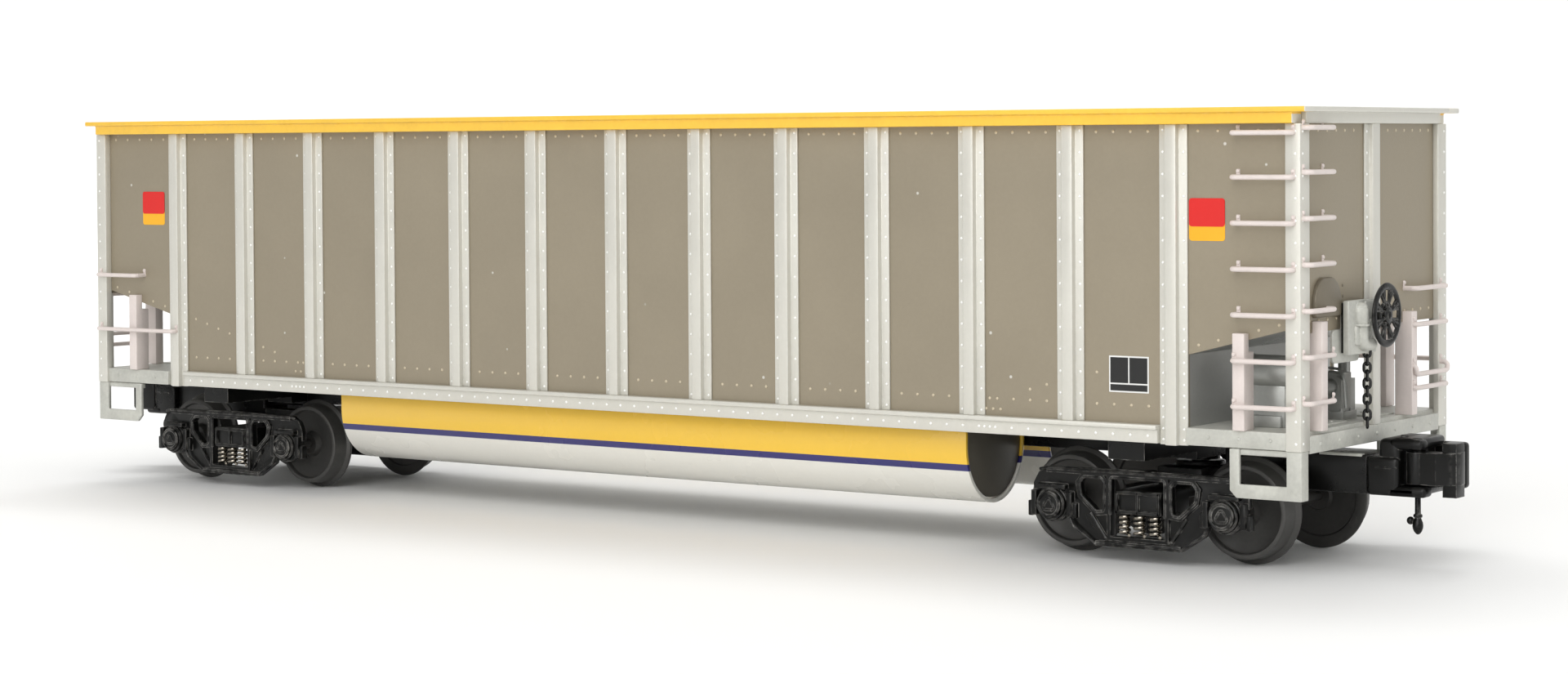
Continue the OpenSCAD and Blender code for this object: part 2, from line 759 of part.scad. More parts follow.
side_sheet();  // side_sheet_right
half_turn() side_sheet();  // side_sheet_left
end_sheet();  // end_sheet_brake_end
half_turn() end_sheet();  // end_sheet_plain_end
slope_sheet();  // slope_sheet_brake_end
half_turn() slope_sheet();  // slope_sheet_plain_end
floor_sheet();
tub();  // tub_right
half_turn() tub();  // tub_left
tub_end_plates();
centre_sill();
body_bolster();  // body_bolster_brake_end
half_turn() body_bolster();  // body_bolster_plain_end
side_sill();  // side_sill_right
half_turn() side_sill();  // side_sill_left
platform();  // platform_brake_end
half_turn() platform();  // platform_plain_end
side_posts();  // side_posts_right
half_turn() side_posts();  // side_posts_left
corner_posts();
end_posts();
side_chord();  // side_chord_right
half_turn() side_chord();  // side_chord_left
end_chord();  // end_chord_brake_end
half_turn() end_chord();  // end_chord_plain_end
ladder_stiles();
ladder();  // ladder_right
half_turn() ladder();  // ladder_left
grab_irons();  // grab_irons_right
half_turn() grab_irons();  // grab_irons_left
both_sides() step();  // steps_brake_end
half_turn() both_sides() step();  // steps_plain_end
brake_wheel();
brake_housing();
brake_chain();
air_reservoir();
reservoir_mount();
control_valve();
truck_a() truck_frame();  // truck_a_frame_right
truck_a() half_turn() truck_frame();  // truck_a_frame_left
truck_a() truck_bolster();  // truck_a_bolster
truck_a() truck_springs();  // truck_a_springs
truck_a() coupler_arm();  // truck_a_coupler_arm
truck_a() coupler_head();  // truck_a_coupler_head
truck_a() knuckle();  // truck_a_knuckle
truck_a() coupler_pin();  // truck_a_coupler_pin
truck_a() axle_at(-half_base);  // truck_a_wheelset_inner
truck_a() axle_at(half_base);  // truck_a_wheelset_outer
truck_b() half_turn() truck_frame();  // truck_b_frame_right
truck_b() truck_frame();  // truck_b_frame_left
truck_b() truck_bolster();  // truck_b_bolster
truck_b() truck_springs();  // truck_b_springs
truck_b() coupler_arm();  // truck_b_coupler_arm
truck_b() coupler_head();  // truck_b_coupler_head
truck_b() knuckle();  // truck_b_knuckle
truck_b() coupler_pin();  // truck_b_coupler_pin
truck_b() axle_at(-half_base);  // truck_b_wheelset_inner
truck_b() axle_at(half_base);  // truck_b_wheelset_outer
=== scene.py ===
"""Dresses the packed frame of a model open hopper wagon: enamel, rivets, irons, brake gear and trucks."""

import math

import bmesh
import bpy
from bpy.props import FloatProperty, FloatVectorProperty, IntProperty, PointerProperty
from mathutils import Matrix, Vector


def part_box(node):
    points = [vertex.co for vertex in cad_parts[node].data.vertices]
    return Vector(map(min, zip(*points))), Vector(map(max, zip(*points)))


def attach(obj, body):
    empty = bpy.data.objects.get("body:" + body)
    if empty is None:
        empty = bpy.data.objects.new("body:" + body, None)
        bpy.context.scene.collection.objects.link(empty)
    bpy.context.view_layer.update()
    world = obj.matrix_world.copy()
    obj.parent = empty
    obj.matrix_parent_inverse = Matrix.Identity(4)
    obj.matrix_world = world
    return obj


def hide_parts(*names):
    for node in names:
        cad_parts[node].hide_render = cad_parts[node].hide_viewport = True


bl_info = {
    "name": "Open hopper wagon",
    "version": (1, 0, 0),
    "blender": (4, 5, 0),
    "location": "View3D > Sidebar > Wagon",
    "description": "Enamel, rivets, irons, brake gear and trucks for a model open hopper wagon",
    "category": "Object",
}

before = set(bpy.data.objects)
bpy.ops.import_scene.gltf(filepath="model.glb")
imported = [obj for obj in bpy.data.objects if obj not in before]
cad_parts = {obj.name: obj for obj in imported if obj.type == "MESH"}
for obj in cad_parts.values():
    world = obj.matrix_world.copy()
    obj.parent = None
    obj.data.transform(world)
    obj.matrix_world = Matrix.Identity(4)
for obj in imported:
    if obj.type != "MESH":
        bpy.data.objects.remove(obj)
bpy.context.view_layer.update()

MM = 0.001
BODY = "wagon_body"
TRUCKS = {"truck_a": 1, "truck_b": -1}
X_AXIS = Vector((1, 0, 0))
Y_AXIS = Vector((0, 1, 0))
Z_AXIS = Vector((0, 0, 1))
FINISHES = {}


# ---------------------------------------------------------------- the frame, in millimetres


def node_box(node):
    """Lowest and highest corner of a CAD node, in millimetres."""
    low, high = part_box(node)
    return low / MM, high / MM


def node_solids(node):
    """The points of each separate solid of a CAD node, in millimetres, in order along X, Y and Z."""
    bm = bmesh.new()
    bm.from_mesh(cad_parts[node].data)
    bmesh.ops.remove_doubles(bm, verts=bm.verts, dist=MM * 0.001)
    left = set(bm.verts)
    solids = []
    while left:
        reached = [left.pop()]
        for vert in reached:
            for edge in vert.link_edges:
                other = edge.other_vert(vert)
                if other in left:
                    left.remove(other)
                    reached.append(other)
        solids.append([vert.co / MM for vert in reached])
    bm.free()
    return sorted(solids, key=lambda points: [round(v, 2) for v in corners(points)[0]])


def corners(points):
    """Lowest and highest corner of some points."""
    low = Vector([min(p[i] for p in points) for i in range(3)])
    high = Vector([max(p[i] for p in points) for i in range(3)])
    return low, high


# ---------------------------------------------------------------- modelling with bmesh operators


def verts_of(made):
    """The vertices in what an operator made."""
    return [part for part in made if isinstance(part, bmesh.types.BMVert)]


def faces_of(made):
    """The faces in what an operator made."""
    return [part for part in made if isinstance(part, bmesh.types.BMFace)]


def facing(direction):
    """A turn that takes Z to a direction."""
    return Vector(direction).to_track_quat("Z", "Y").to_matrix().to_4x4()


def round_edges(bm, edges, width, segments=2):
    """Rounds edges off."""
    bmesh.ops.bevel(
        bm,
        geom=edges,
        offset=width,
        offset_type="OFFSET",
        segments=segments,
        profile=0.5,
        affect="EDGES",
        clamp_overlap=True,
        material=-1,
    )


def add_block(bm, low, high, rounding=0.0, segments=2):
    """A block between two corners, with its edges rounded off."""
    low, high = Vector(low), Vector(high)
    place = Matrix.Translation((low + high) / 2) @ Matrix.Diagonal((*(high - low), 1))
    made = bmesh.ops.create_cube(bm, size=1, matrix=place)
    if rounding:
        edges = {edge for vert in made["verts"] for edge in vert.link_edges}
        round_edges(bm, list(edges), rounding, segments)


def add_bar(bm, start, end, radius, sides=20, end_radius=None, rounding=0.0):
    """A round bar or a cone from one point to another."""
    start, end = Vector(start), Vector(end)
    place = Matrix.Translation((start + end) / 2) @ facing(end - start)
    made = bmesh.ops.create_cone(
        bm,
        cap_ends=True,
        segments=sides,
        radius1=radius,
        radius2=radius if end_radius is None else end_radius,
        depth=(end - start).length,
        matrix=place,
    )
    if rounding:
        faces = {face for vert in made["verts"] for face in vert.link_faces}
        caps = [face for face in faces if len(face.verts) > 4]
        round_edges(bm, list({edge for face in caps for edge in face.edges}), rounding)


def add_dome(bm, centre, normal, radius, height, sides=8, rings=4):
    """A rivet head: a flattened ball that is sunk to its middle."""
    place = Matrix.Translation(centre) @ facing(normal) @ Matrix.Diagonal((radius, radius, height, 1))
    bmesh.ops.create_uvsphere(bm, u_segments=sides, v_segments=rings, radius=1, matrix=place)


def add_domes(bm, spots, normal, radius, height):
    """Rivet heads at some spots, made a few at a time."""
    for start in range(0, len(spots), 30):
        batch = bmesh.new()
        for spot in spots[start : start + 30]:
            add_dome(batch, spot, normal, radius, height)
        append_part(bm, batch)


def append_part(bm, part):
    """Adds one bmesh to another and frees it."""
    mesh = bpy.data.meshes.new("part")
    part.to_mesh(mesh)
    part.free()
    bm.from_mesh(mesh)
    bpy.data.meshes.remove(mesh)


def add_nut(bm, centre, normal, radius, height):
    """A six-sided bolt head."""
    place = Matrix.Translation(Vector(centre) + Vector(normal) * height / 2) @ facing(normal)
    bmesh.ops.create_cone(
        bm, cap_ends=True, segments=6, radius1=radius, radius2=radius * 0.86, depth=height, matrix=place
    )


def push(bm, face, offset):
    """Extrudes a face by an offset and gives the face at the end."""
    grown = bmesh.ops.extrude_face_region(bm, geom=[face])["geom"]
    bmesh.ops.translate(bm, verts=verts_of(grown), vec=offset)
    return faces_of(grown)[0]


def add_bent_rod(bm, points, radius, bend, sides=10, steps=4):
    """A round rod through some points, with a bend of that radius at each inner one."""
    points = [Vector(point) for point in points]
    heading = (points[1] - points[0]).normalized()
    place = Matrix.Translation(points[0]) @ facing(heading)
    made = bmesh.ops.create_circle(bm, cap_ends=True, segments=sides, radius=radius, matrix=place)
    face = made["verts"][0].link_faces[0]
    here = points[0]
    for corner, after in zip(points[1:-1], points[2:]):
        onward = (after - corner).normalized()
        angle = heading.angle(onward)
        setback = bend * math.tan(angle / 2)
        turn_from = corner - heading * setback
        face = push(bm, face, turn_from - here)
        axis = heading.cross(onward).normalized()
        centre = turn_from + axis.cross(heading) * bend
        turned = bmesh.ops.spin(
            bm, geom=[face], cent=centre, axis=axis, angle=angle, steps=steps, use_duplicate=False
        )
        face = faces_of(turned["geom_last"])[0]
        heading = onward
        here = corner + onward * setback
    push(bm, face, points[-1] - here)


def add_ring(bm, centre, normal, radius, thickness, steps=48, sides=10):
    """A round ring of round section."""
    turn = facing(normal)
    out = turn @ X_AXIS
    place = Matrix.Translation(Vector(centre) + out * radius) @ facing(Vector(normal).cross(out))
    made = bmesh.ops.create_circle(bm, segments=sides, radius=thickness, matrix=place)
    ring_edges = list({edge for vert in made["verts"] for edge in vert.link_edges})
    bmesh.ops.spin(
        bm,
        geom=made["verts"] + ring_edges,
        cent=centre,
        axis=normal,
        angle=math.tau,
        steps=steps,
        use_merge=True,
        use_duplicate=False,
    )


def add_turned(bm, profile, centre, axis, steps=48):
    """A turned solid: profile gives each radius and its distance along the axis, from end to end."""
    turn = facing(axis)
    place = Matrix.Translation(centre) @ turn
    lathe = bmesh.new()
    verts = [lathe.verts.new(place @ Vector((radius, 0, along))) for radius, along in profile]
    edges = [lathe.edges.new(pair) for pair in zip(verts, verts[1:])]
    bmesh.ops.spin(
        lathe,
        geom=verts + edges,
        cent=centre,
        axis=turn @ Z_AXIS,
        angle=math.tau,
        steps=steps,
        use_merge=True,
        use_duplicate=False,
    )
    bmesh.ops.remove_doubles(lathe, verts=lathe.verts, dist=0.0005)
    append_part(bm, lathe)


def add_plate(bm, outline, thickness, place, corner=0.0, rounding=0.0):
    """A flat plate: an outline with rounded corners, thickened along the placed Z axis."""
    verts = [bm.verts.new(place @ Vector((x, y, 0))) for x, y in outline]
    face = bm.faces.new(verts)
    if corner:
        rounded = bmesh.ops.bevel(
            bm,
            geom=verts,
            offset=corner,
            offset_type="OFFSET",
            segments=4,
            profile=0.5,
            affect="VERTICES",
            clamp_overlap=True,
            material=-1,
        )
        face = max(
            {near for vert in rounded["verts"] for near in vert.link_faces}, key=lambda f: f.calc_area()
        )
    top = push(bm, face, (place.to_3x3() @ Z_AXIS) * thickness)
    if rounding:
        round_edges(bm, list(top.edges), rounding)
    return top


def softened(bm, node, width, sharp=35.0, segments=2):
    """Adds a merged copy of a CAD node with its sharp edges rounded off."""
    copy = bmesh.new()
    copy.from_mesh(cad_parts[node].data)
    bmesh.ops.scale(copy, vec=(1 / MM,) * 3, verts=copy.verts)
    bmesh.ops.remove_doubles(copy, verts=copy.verts, dist=0.0005)
    bmesh.ops.dissolve_limit(
        copy,
        angle_limit=math.radians(0.5),
        use_dissolve_boundaries=False,
        verts=copy.verts,
        edges=copy.edges,
        delimit=set(),
    )
    edges = [
        edge
        for edge in copy.edges
        if len(edge.link_faces) == 2 and edge.calc_face_angle(0) > math.radians(sharp)
    ]
    round_edges(copy, edges, width, segments)
    append_part(bm, copy)


def make_piece(bm, name, finish, body, replaced=(), smooth=40.0, mend=False):
    """Turns a bmesh in millimetres into a finished piece that rides on a body."""
    if mend:
        bmesh.ops.recalc_face_normals(bm, faces=bm.faces)
    bmesh.ops.scale(bm, vec=(MM,) * 3, verts=bm.verts)
    mesh = bpy.data.meshes.new(name)
    bm.to_mesh(mesh)
    bm.free()
    mesh.shade_smooth()
    mesh.set_sharp_from_angle(angle=math.radians(smooth))
    mesh.materials.append(finish)
    piece = bpy.data.objects.new(name, mesh)
    bpy.context.scene.collection.objects.link(piece)
    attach(piece, body)
    if replaced:
        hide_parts(*replaced)
    return piece


# ---------------------------------------------------------------- finishes


def hex_colour(code):
    """A linear colour from six hex digits."""
    channels = [int(code[i : i + 2], 16) / 255 for i in (0, 2, 4)]
    return tuple(c / 12.92 if c <= 0.04045 else ((c + 0.055) / 1.055) ** 2.4 for c in channels)


def new_group(name, inputs, outputs):
    """An empty shader node group with named sockets, and its input and output nodes."""
    group = bpy.data.node_groups.new(name, "ShaderNodeTree")
    for label, kind, value in inputs:
        socket = group.interface.new_socket(name=label, in_out="INPUT", socket_type=kind)
        socket.default_value = value
    for label, kind in outputs:
        group.interface.new_socket(name=label, in_out="OUTPUT", socket_type=kind)
    return group, group.nodes.new("NodeGroupInput"), group.nodes.new("NodeGroupOutput")


def math_node(tree, operation, first, second):
    """A Math node fed by sockets or numbers."""
    node = tree.nodes.new("ShaderNodeMath")
    node.operation = operation
    for socket, value in zip(node.inputs, (first, second)):
        if isinstance(value, (int, float)):
            socket.default_value = value
        else:
            tree.links.new(value, socket)
    return node.outputs[0]


def span_node(tree, value, low, high, to_low=0.0, to_high=1.0):
    """A Map Range node that holds its ends."""
    node = tree.nodes.new("ShaderNodeMapRange")
    tree.links.new(value, node.inputs["Value"])
    for label, number in (("From Min", low), ("From Max", high), ("To Min", to_low), ("To Max", to_high)):
        if isinstance(number, (int, float)):
            node.inputs[label].default_value = number
        else:
            tree.links.new(number, node.inputs[label])
    return node.outputs["Result"]


def mix_colours(tree, factor, first, second, blend="MIX"):
    """A Mix node for colours, fed by sockets or colours."""
    node = tree.nodes.new("ShaderNodeMix")
    node.data_type = "RGBA"
    node.blend_type = blend
    for index, value in ((0, factor), (6, first), (7, second)):
        if isinstance(value, bpy.types.NodeSocket):
            tree.links.new(value, node.inputs[index])
        elif index == 0:
            node.inputs[index].default_value = value
        else:
            node.inputs[index].default_value = (*value, 1)
    return node.outputs[2]


def noise(tree, scale, detail=3.0, roughness=0.5):
    """Noise on the piece's own coordinates."""
    place = tree.nodes.new("ShaderNodeTexCoord").outputs["Object"]
    node = tree.nodes.new("ShaderNodeTexNoise")
    tree.links.new(place, node.inputs["Vector"])
    if isinstance(scale, bpy.types.NodeSocket):
        tree.links.new(scale, node.inputs["Scale"])
    else:
        node.inputs["Scale"].default_value = scale
    node.inputs["Detail"].default_value = detail
    node.inputs["Roughness"].default_value = roughness
    return node.outputs["Fac"]


def uneven_coat():
    """Group: a sprayed coat that is a little uneven in shade and in gloss."""
    name = "uneven_coat"
    if name in bpy.data.node_groups:
        return bpy.data.node_groups[name]
    group, inner, outer = new_group(
        name,
        [
            ("Colour", "NodeSocketColor", (0.5, 0.5, 0.5, 1)),
            ("Shade Depth", "NodeSocketFloat", 0.1),
            ("Scale", "NodeSocketFloat", 60.0),
            ("Roughness Low", "NodeSocketFloat", 0.3),
            ("Roughness High", "NodeSocketFloat", 0.4),
        ],
        [("Colour", "NodeSocketColor"), ("Roughness", "NodeSocketFloat")],
    )
    cloudy = noise(group, inner.outputs["Scale"], detail=4.0, roughness=0.6)
    speckle = noise(group, 1400.0, detail=2.0)
    blend = math_node(
        group,
        "ADD",
        math_node(group, "MULTIPLY", cloudy, 0.7),
        math_node(group, "MULTIPLY", speckle, 0.3),
    )
    darker = math_node(group, "SUBTRACT", 1.0, inner.outputs["Shade Depth"])
    brighter = math_node(group, "ADD", 1.0, inner.outputs["Shade Depth"])
    level = span_node(group, blend, 0.3, 0.7, darker, brighter)
    grey = group.nodes.new("ShaderNodeCombineColor")
    for socket in grey.inputs:
        group.links.new(level, socket)
    shaded = mix_colours(group, 1.0, inner.outputs["Colour"], grey.outputs[0], "MULTIPLY")
    group.links.new(shaded, outer.inputs["Colour"])
    gloss = span_node(
        group, cloudy, 0.35, 0.65, inner.outputs["Roughness Low"], inner.outputs["Roughness High"]
    )
    group.links.new(gloss, outer.inputs["Roughness"])
    return group


def rubbed_edges():
    """Group: a paler colour along the edges: coat rubbed thin on most finishes, and a painted highlight on
    the black castings.
    """
    name = "rubbed_edges"
    if name in bpy.data.node_groups:
        return bpy.data.node_groups[name]
    group, inner, outer = new_group(
        name,
        [
            ("Colour", "NodeSocketColor", (0.5, 0.5, 0.5, 1)),
            ("Bare Colour", "NodeSocketColor", (0.8, 0.8, 0.8, 1)),
            ("Amount", "NodeSocketFloat", 0.5),
            ("Reach", "NodeSocketFloat", 0.0002),
        ],
        [("Colour", "NodeSocketColor"), ("Mask", "NodeSocketFloat")],
    )
    rounded = group.nodes.new("ShaderNodeBevel")
    rounded.samples = 4
    group.links.new(inner.outputs["Reach"], rounded.inputs["Radius"])
    flat = group.nodes.new("ShaderNodeNewGeometry")
    dot = group.nodes.new("ShaderNodeVectorMath")
    dot.operation = "DOT_PRODUCT"
    group.links.new(rounded.outputs["Normal"], dot.inputs[0])
    group.links.new(flat.outputs["True Normal"], dot.inputs[1])
    edge = span_node(group, dot.outputs["Value"], 0.98, 0.8)
    patchy = span_node(group, noise(group, 700.0, detail=4.0), 0.4, 0.62)
    mask = math_node(group, "MULTIPLY", math_node(group, "MULTIPLY", edge, patchy), inner.outputs["Amount"])
    shade = mix_colours(group, mask, inner.outputs["Colour"], inner.outputs["Bare Colour"])
    group.links.new(shade, outer.inputs["Colour"])
    group.links.new(mask, outer.inputs["Mask"])
    return group


def fine_grain():
    """Group: the fine grain of sprayed enamel or of a casting, as a normal."""
    name = "fine_grain"
    if name in bpy.data.node_groups:
        return bpy.data.node_groups[name]
    group, inner, outer = new_group(
        name,
        [("Scale", "NodeSocketFloat", 2500.0), ("Strength", "NodeSocketFloat", 0.1)],
        [("Normal", "NodeSocketVector")],
    )
    bump = group.nodes.new("ShaderNodeBump")
    bump.inputs["Distance"].default_value = 0.0001
    group.links.new(inner.outputs["Strength"], bump.inputs["Strength"])
    group.links.new(noise(group, inner.outputs["Scale"], detail=3.0, roughness=0.6), bump.inputs["Height"])
    group.links.new(bump.outputs["Normal"], outer.inputs["Normal"])
    return group


def light_specks():
    """Group: small pale chips and specks in a coat."""
    name = "light_specks"
    if name in bpy.data.node_groups:
        return bpy.data.node_groups[name]
    group, inner, outer = new_group(
        name,
        [
            ("Colour", "NodeSocketColor", (0.5, 0.5, 0.5, 1)),
            ("Speck Colour", "NodeSocketColor", (0.8, 0.8, 0.8, 1)),
            ("Scale", "NodeSocketFloat", 260.0),
            ("Share", "NodeSocketFloat", 0.5),
        ],
        [("Colour", "NodeSocketColor")],
    )
    place = group.nodes.new("ShaderNodeTexCoord").outputs["Object"]
    cells = group.nodes.new("ShaderNodeTexVoronoi")
    group.links.new(place, cells.inputs["Vector"])
    group.links.new(inner.outputs["Scale"], cells.inputs["Scale"])
    spot = span_node(group, cells.outputs["Distance"], 0.09, 0.05)
    tint = group.nodes.new("ShaderNodeSeparateColor")
    group.links.new(cells.outputs["Color"], tint.inputs[0])
    chosen = math_node(group, "GREATER_THAN", tint.outputs[0], 0.72)
    regions = span_node(group, noise(group, 45.0, detail=1.0), 0.5, 0.56)
    mask = math_node(group, "MULTIPLY", math_node(group, "MULTIPLY", spot, chosen), regions)
    mask = math_node(group, "MULTIPLY", mask, inner.outputs["Share"])
    shade = mix_colours(group, mask, inner.outputs["Colour"], inner.outputs["Speck Colour"])
    group.links.new(shade, outer.inputs["Colour"])
    return group


def place_group(tree, group, **values):
    """A group node with its inputs set, where a name's underscores stand for spaces."""
    node = tree.nodes.new("ShaderNodeGroup")
    node.node_tree = group
    for label, value in values.items():
        socket = node.inputs[label.replace("_", " ")]
        if isinstance(value, bpy.types.NodeSocket):
            tree.links.new(value, socket)
        elif isinstance(value, tuple):
            socket.default_value = (*value, 1)
        else:
            socket.default_value = value
    return node


def start_material(name):
    """A new material with its node tree and its Principled shader."""
    material = bpy.data.materials.new(name)
    material.use_nodes = True
    return material, material.node_tree, material.node_tree.nodes["Principled BSDF"]


def enamel(
    name,
    colour,
    gloss=(0.32, 0.42),
    metallic=0.0,
    coat=0.0,
    depth=0.06,
    cloud=60.0,
    grain=(2500.0, 0.08),
    bare_and_highlight=None,
    rub_and_highlight=0.0,
    reach=0.00025,
    specks=0.0,
    base=None,
    shine=0.5,
):
    """A finish made of an uneven coat, paler edges (rubbed coat, and on the black castings a painted
    highlight), specks and fine grain.
    """
    if name in FINISHES:
        return FINISHES[name]
    material, tree, shader = start_material("finish_" + name)
    FINISHES[name] = material
    source = base(tree) if base else colour
    coated = place_group(
        tree,
        uneven_coat(),
        Colour=source,
        Shade_Depth=depth,
        Scale=cloud,
        Roughness_Low=gloss[0],
        Roughness_High=gloss[1],
    )
    shade = coated.outputs["Colour"]
    if specks:
        speckled = place_group(
            tree, light_specks(), Colour=shade, Speck_Colour=(0.75, 0.74, 0.7), Scale=230.0, Share=specks
        )
        shade = speckled.outputs["Colour"]
    if bare_and_highlight:
        rubbed_and_highlit = place_group(
            tree, rubbed_edges(), Colour=shade, Bare_Colour=bare_and_highlight, Amount=rub_and_highlight, Reach=reach
        )
        shade = rubbed_and_highlit.outputs["Colour"]
    tree.links.new(shade, shader.inputs["Base Color"])
    tree.links.new(coated.outputs["Roughness"], shader.inputs["Roughness"])
    grained = place_group(tree, fine_grain(), Scale=grain[0], Strength=grain[1])
    tree.links.new(grained.outputs["Normal"], shader.inputs["Normal"])
    shader.inputs["Metallic"].default_value = metallic
    shader.inputs["Specular IOR Level"].default_value = shine
    shader.inputs["Coat Weight"].default_value = coat
    shader.inputs["Coat Roughness"].default_value = 0.12
    return material


def paint():
    """The user's colours."""
    return bpy.context.scene.wagon_paint


def taupe_sheet():
    return enamel(
        "taupe_sheet",
        tuple(paint().sheet),
        gloss=(0.36, 0.46),
        metallic=0.25,
        depth=0.05,
        cloud=35.0,
        grain=(3000.0, 0.05),
        specks=0.75,
    )


def inner_grey():
    return enamel(
        "inner_grey",
        (0.42, 0.425, 0.41),
        gloss=(0.26, 0.38),
        metallic=0.45,
        depth=0.07,
        cloud=45.0,
        grain=(2600.0, 0.08),
    )


def highlit_rivet_taupe():
    # The sheet colour at 1.9 times is a painted highlight: it makes the rivet heads read as light dots.
    return enamel(
        "highlit_rivet_taupe",
        tuple(value * 1.9 for value in paint().sheet),
        gloss=(0.3, 0.36),
        depth=0.04,
    )


def pocket_taupe_painted_shade():
    # The sheet colour at 0.62 is painted shade: the pocket is made darker than the sheet around it.
    return enamel(
        "pocket_taupe_painted_shade",
        tuple(value * 0.62 for value in paint().sheet),
        gloss=(0.36, 0.46),
        metallic=0.25,
        depth=0.05,
    )


def silver_trim():
    return enamel(
        "silver_trim",
        tuple(paint().trim),
        gloss=(0.3, 0.4),
        metallic=0.25,
        depth=0.035,
        cloud=90.0,
        grain=(2200.0, 0.1),
        bare_and_highlight=(0.9, 0.9, 0.88),
        rub_and_highlight=0.6,
    )


def highlit_rivet_silver():
    # This near-white colour is a painted highlight: it makes the rivet heads read as light dots.
    return enamel("highlit_rivet_silver", (0.95, 0.95, 0.93), gloss=(0.36, 0.42), depth=0.03)


def worn_silver():
    return enamel(
        "worn_silver",
        tuple(paint().step),
        gloss=(0.4, 0.6),
        metallic=0.2,
        depth=0.16,
        cloud=160.0,
        grain=(1500.0, 0.3),
        bare_and_highlight=(0.9, 0.9, 0.88),
        rub_and_highlight=0.6,
    )


def chord_enamel():
    """Yellow, with the end faces in the colour of the trim."""
    low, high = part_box("side_chord_right")
    web = [vert.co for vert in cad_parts["side_chord_right"].data.vertices if vert.co.z < low.z + MM]
    blur = 0.00006
    flange_x = high.x - 3 * blur
    web_x = max(point.x for point in web) - 2 * blur
    web_z = low.z + (high.z - low.z) * 0.55

    def ends(tree):
        place = tree.nodes.new("ShaderNodeTexCoord").outputs["Object"]
        parts = tree.nodes.new("ShaderNodeSeparateXYZ")
        tree.links.new(place, parts.inputs[0])
        mirrored = math_node(tree, "MULTIPLY", parts.outputs["X"], -1.0)
        reach = math_node(tree, "MAXIMUM", parts.outputs["X"], mirrored)
        at_flange = span_node(tree, reach, flange_x - blur, flange_x)
        past_web = span_node(tree, reach, web_x - blur, web_x)
        under = span_node(tree, parts.outputs["Z"], web_z, web_z + blur / 3, 1.0, 0.0)
        at_end = math_node(tree, "MAXIMUM", at_flange, math_node(tree, "MULTIPLY", past_web, under))
        return mix_colours(tree, at_end, tuple(paint().chord), tuple(paint().trim))

    return enamel(
        "chord_enamel",
        None,
        gloss=(0.38, 0.5),
        depth=0.07,
        cloud=120.0,
        grain=(1500.0, 0.16),
        bare_and_highlight=(0.95, 0.82, 0.5),
        rub_and_highlight=0.5,
        base=ends,
    )


def iron_enamel():
    return enamel(
        "iron_enamel",
        tuple(paint().iron),
        gloss=(0.34, 0.46),
        depth=0.05,
        cloud=200.0,
        grain=(2500.0, 0.08),
    )


def gear_grey():
    return enamel(
        "gear_grey",
        tuple(paint().gear),
        gloss=(0.3, 0.45),
        metallic=0.5,
        depth=0.1,
        cloud=150.0,
        grain=(2000.0, 0.15),
        bare_and_highlight=(0.75, 0.76, 0.75),
        rub_and_highlight=0.7,
    )


def dark_plate():
    return enamel(
        "dark_plate",
        tuple(paint().plate),
        gloss=(0.42, 0.55),
        depth=0.08,
        cloud=60.0,
        grain=(2500.0, 0.08),
    )


def cast_black():
    # The pale edge colour here is a painted highlight along the beads and rims of the black castings.
    return enamel(
        "cast_black",
        tuple(paint().black),
        gloss=(0.26, 0.36),
        depth=0.1,
        cloud=120.0,
        grain=(1800.0, 0.08),
        bare_and_highlight=(0.3, 0.29, 0.27),
        rub_and_highlight=0.9,
        reach=0.0003,
        shine=0.28,
    )


def chain_black():
    return enamel("chain_black", tuple(paint().black), gloss=(0.22, 0.34), depth=0.15, cloud=300.0)


def wheel_black():
    return enamel(
        "wheel_black",
        tuple(paint().wheel),
        gloss=(0.34, 0.5),
        metallic=0.4,
        depth=0.16,
        cloud=120.0,
        grain=(1500.0, 0.12),
    )


def spring_steel():
    return enamel(
        "spring_steel",
        tuple(paint().steel),
        gloss=(0.14, 0.24),
        metallic=1.0,
        depth=0.1,
        cloud=500.0,
        grain=(4000.0, 0.05),
    )


def tub_enamel():
    """Enamel in bands: yellow over a blue line over white."""
    sizes = bpy.context.scene.wagon_tubs
    yellow_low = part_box("tub_right")[1].z - sizes.yellow_band
    blue_low = yellow_low - sizes.blue_line
    edge = 0.00003

    def bands(tree):
        place = tree.nodes.new("ShaderNodeTexCoord").outputs["Object"]
        parts = tree.nodes.new("ShaderNodeSeparateXYZ")
        tree.links.new(place, parts.inputs[0])
        above_white = span_node(tree, parts.outputs["Z"], blue_low - edge, blue_low + edge)
        above_blue = span_node(tree, parts.outputs["Z"], yellow_low - edge, yellow_low + edge)
        lower = mix_colours(tree, above_white, tuple(paint().tub), tuple(paint().line))
        return mix_colours(tree, above_blue, lower, tuple(paint().band))

    return enamel(
        "tub_enamel",
        None,
        gloss=(0.2, 0.3),
        coat=0.4,
        depth=0.03,
        cloud=30.0,
        grain=(1200.0, 0.03),
        base=bands,
    )


# ---------------------------------------------------------------- settings


def colour_setting(name, description, code):
    return FloatVectorProperty(
        name=name, description=description, subtype="COLOR", size=3, min=0, max=1, default=hex_colour(code)
    )


def length_setting(name, description, value):
    return FloatProperty(
        name=name,
        description=description,
        default=value,
        min=0,
        subtype="DISTANCE",
        unit="LENGTH",
        precision=5,
    )


def power_setting(name, description, value):
    return FloatProperty(name=name, description=description, default=value, min=0, unit="POWER")


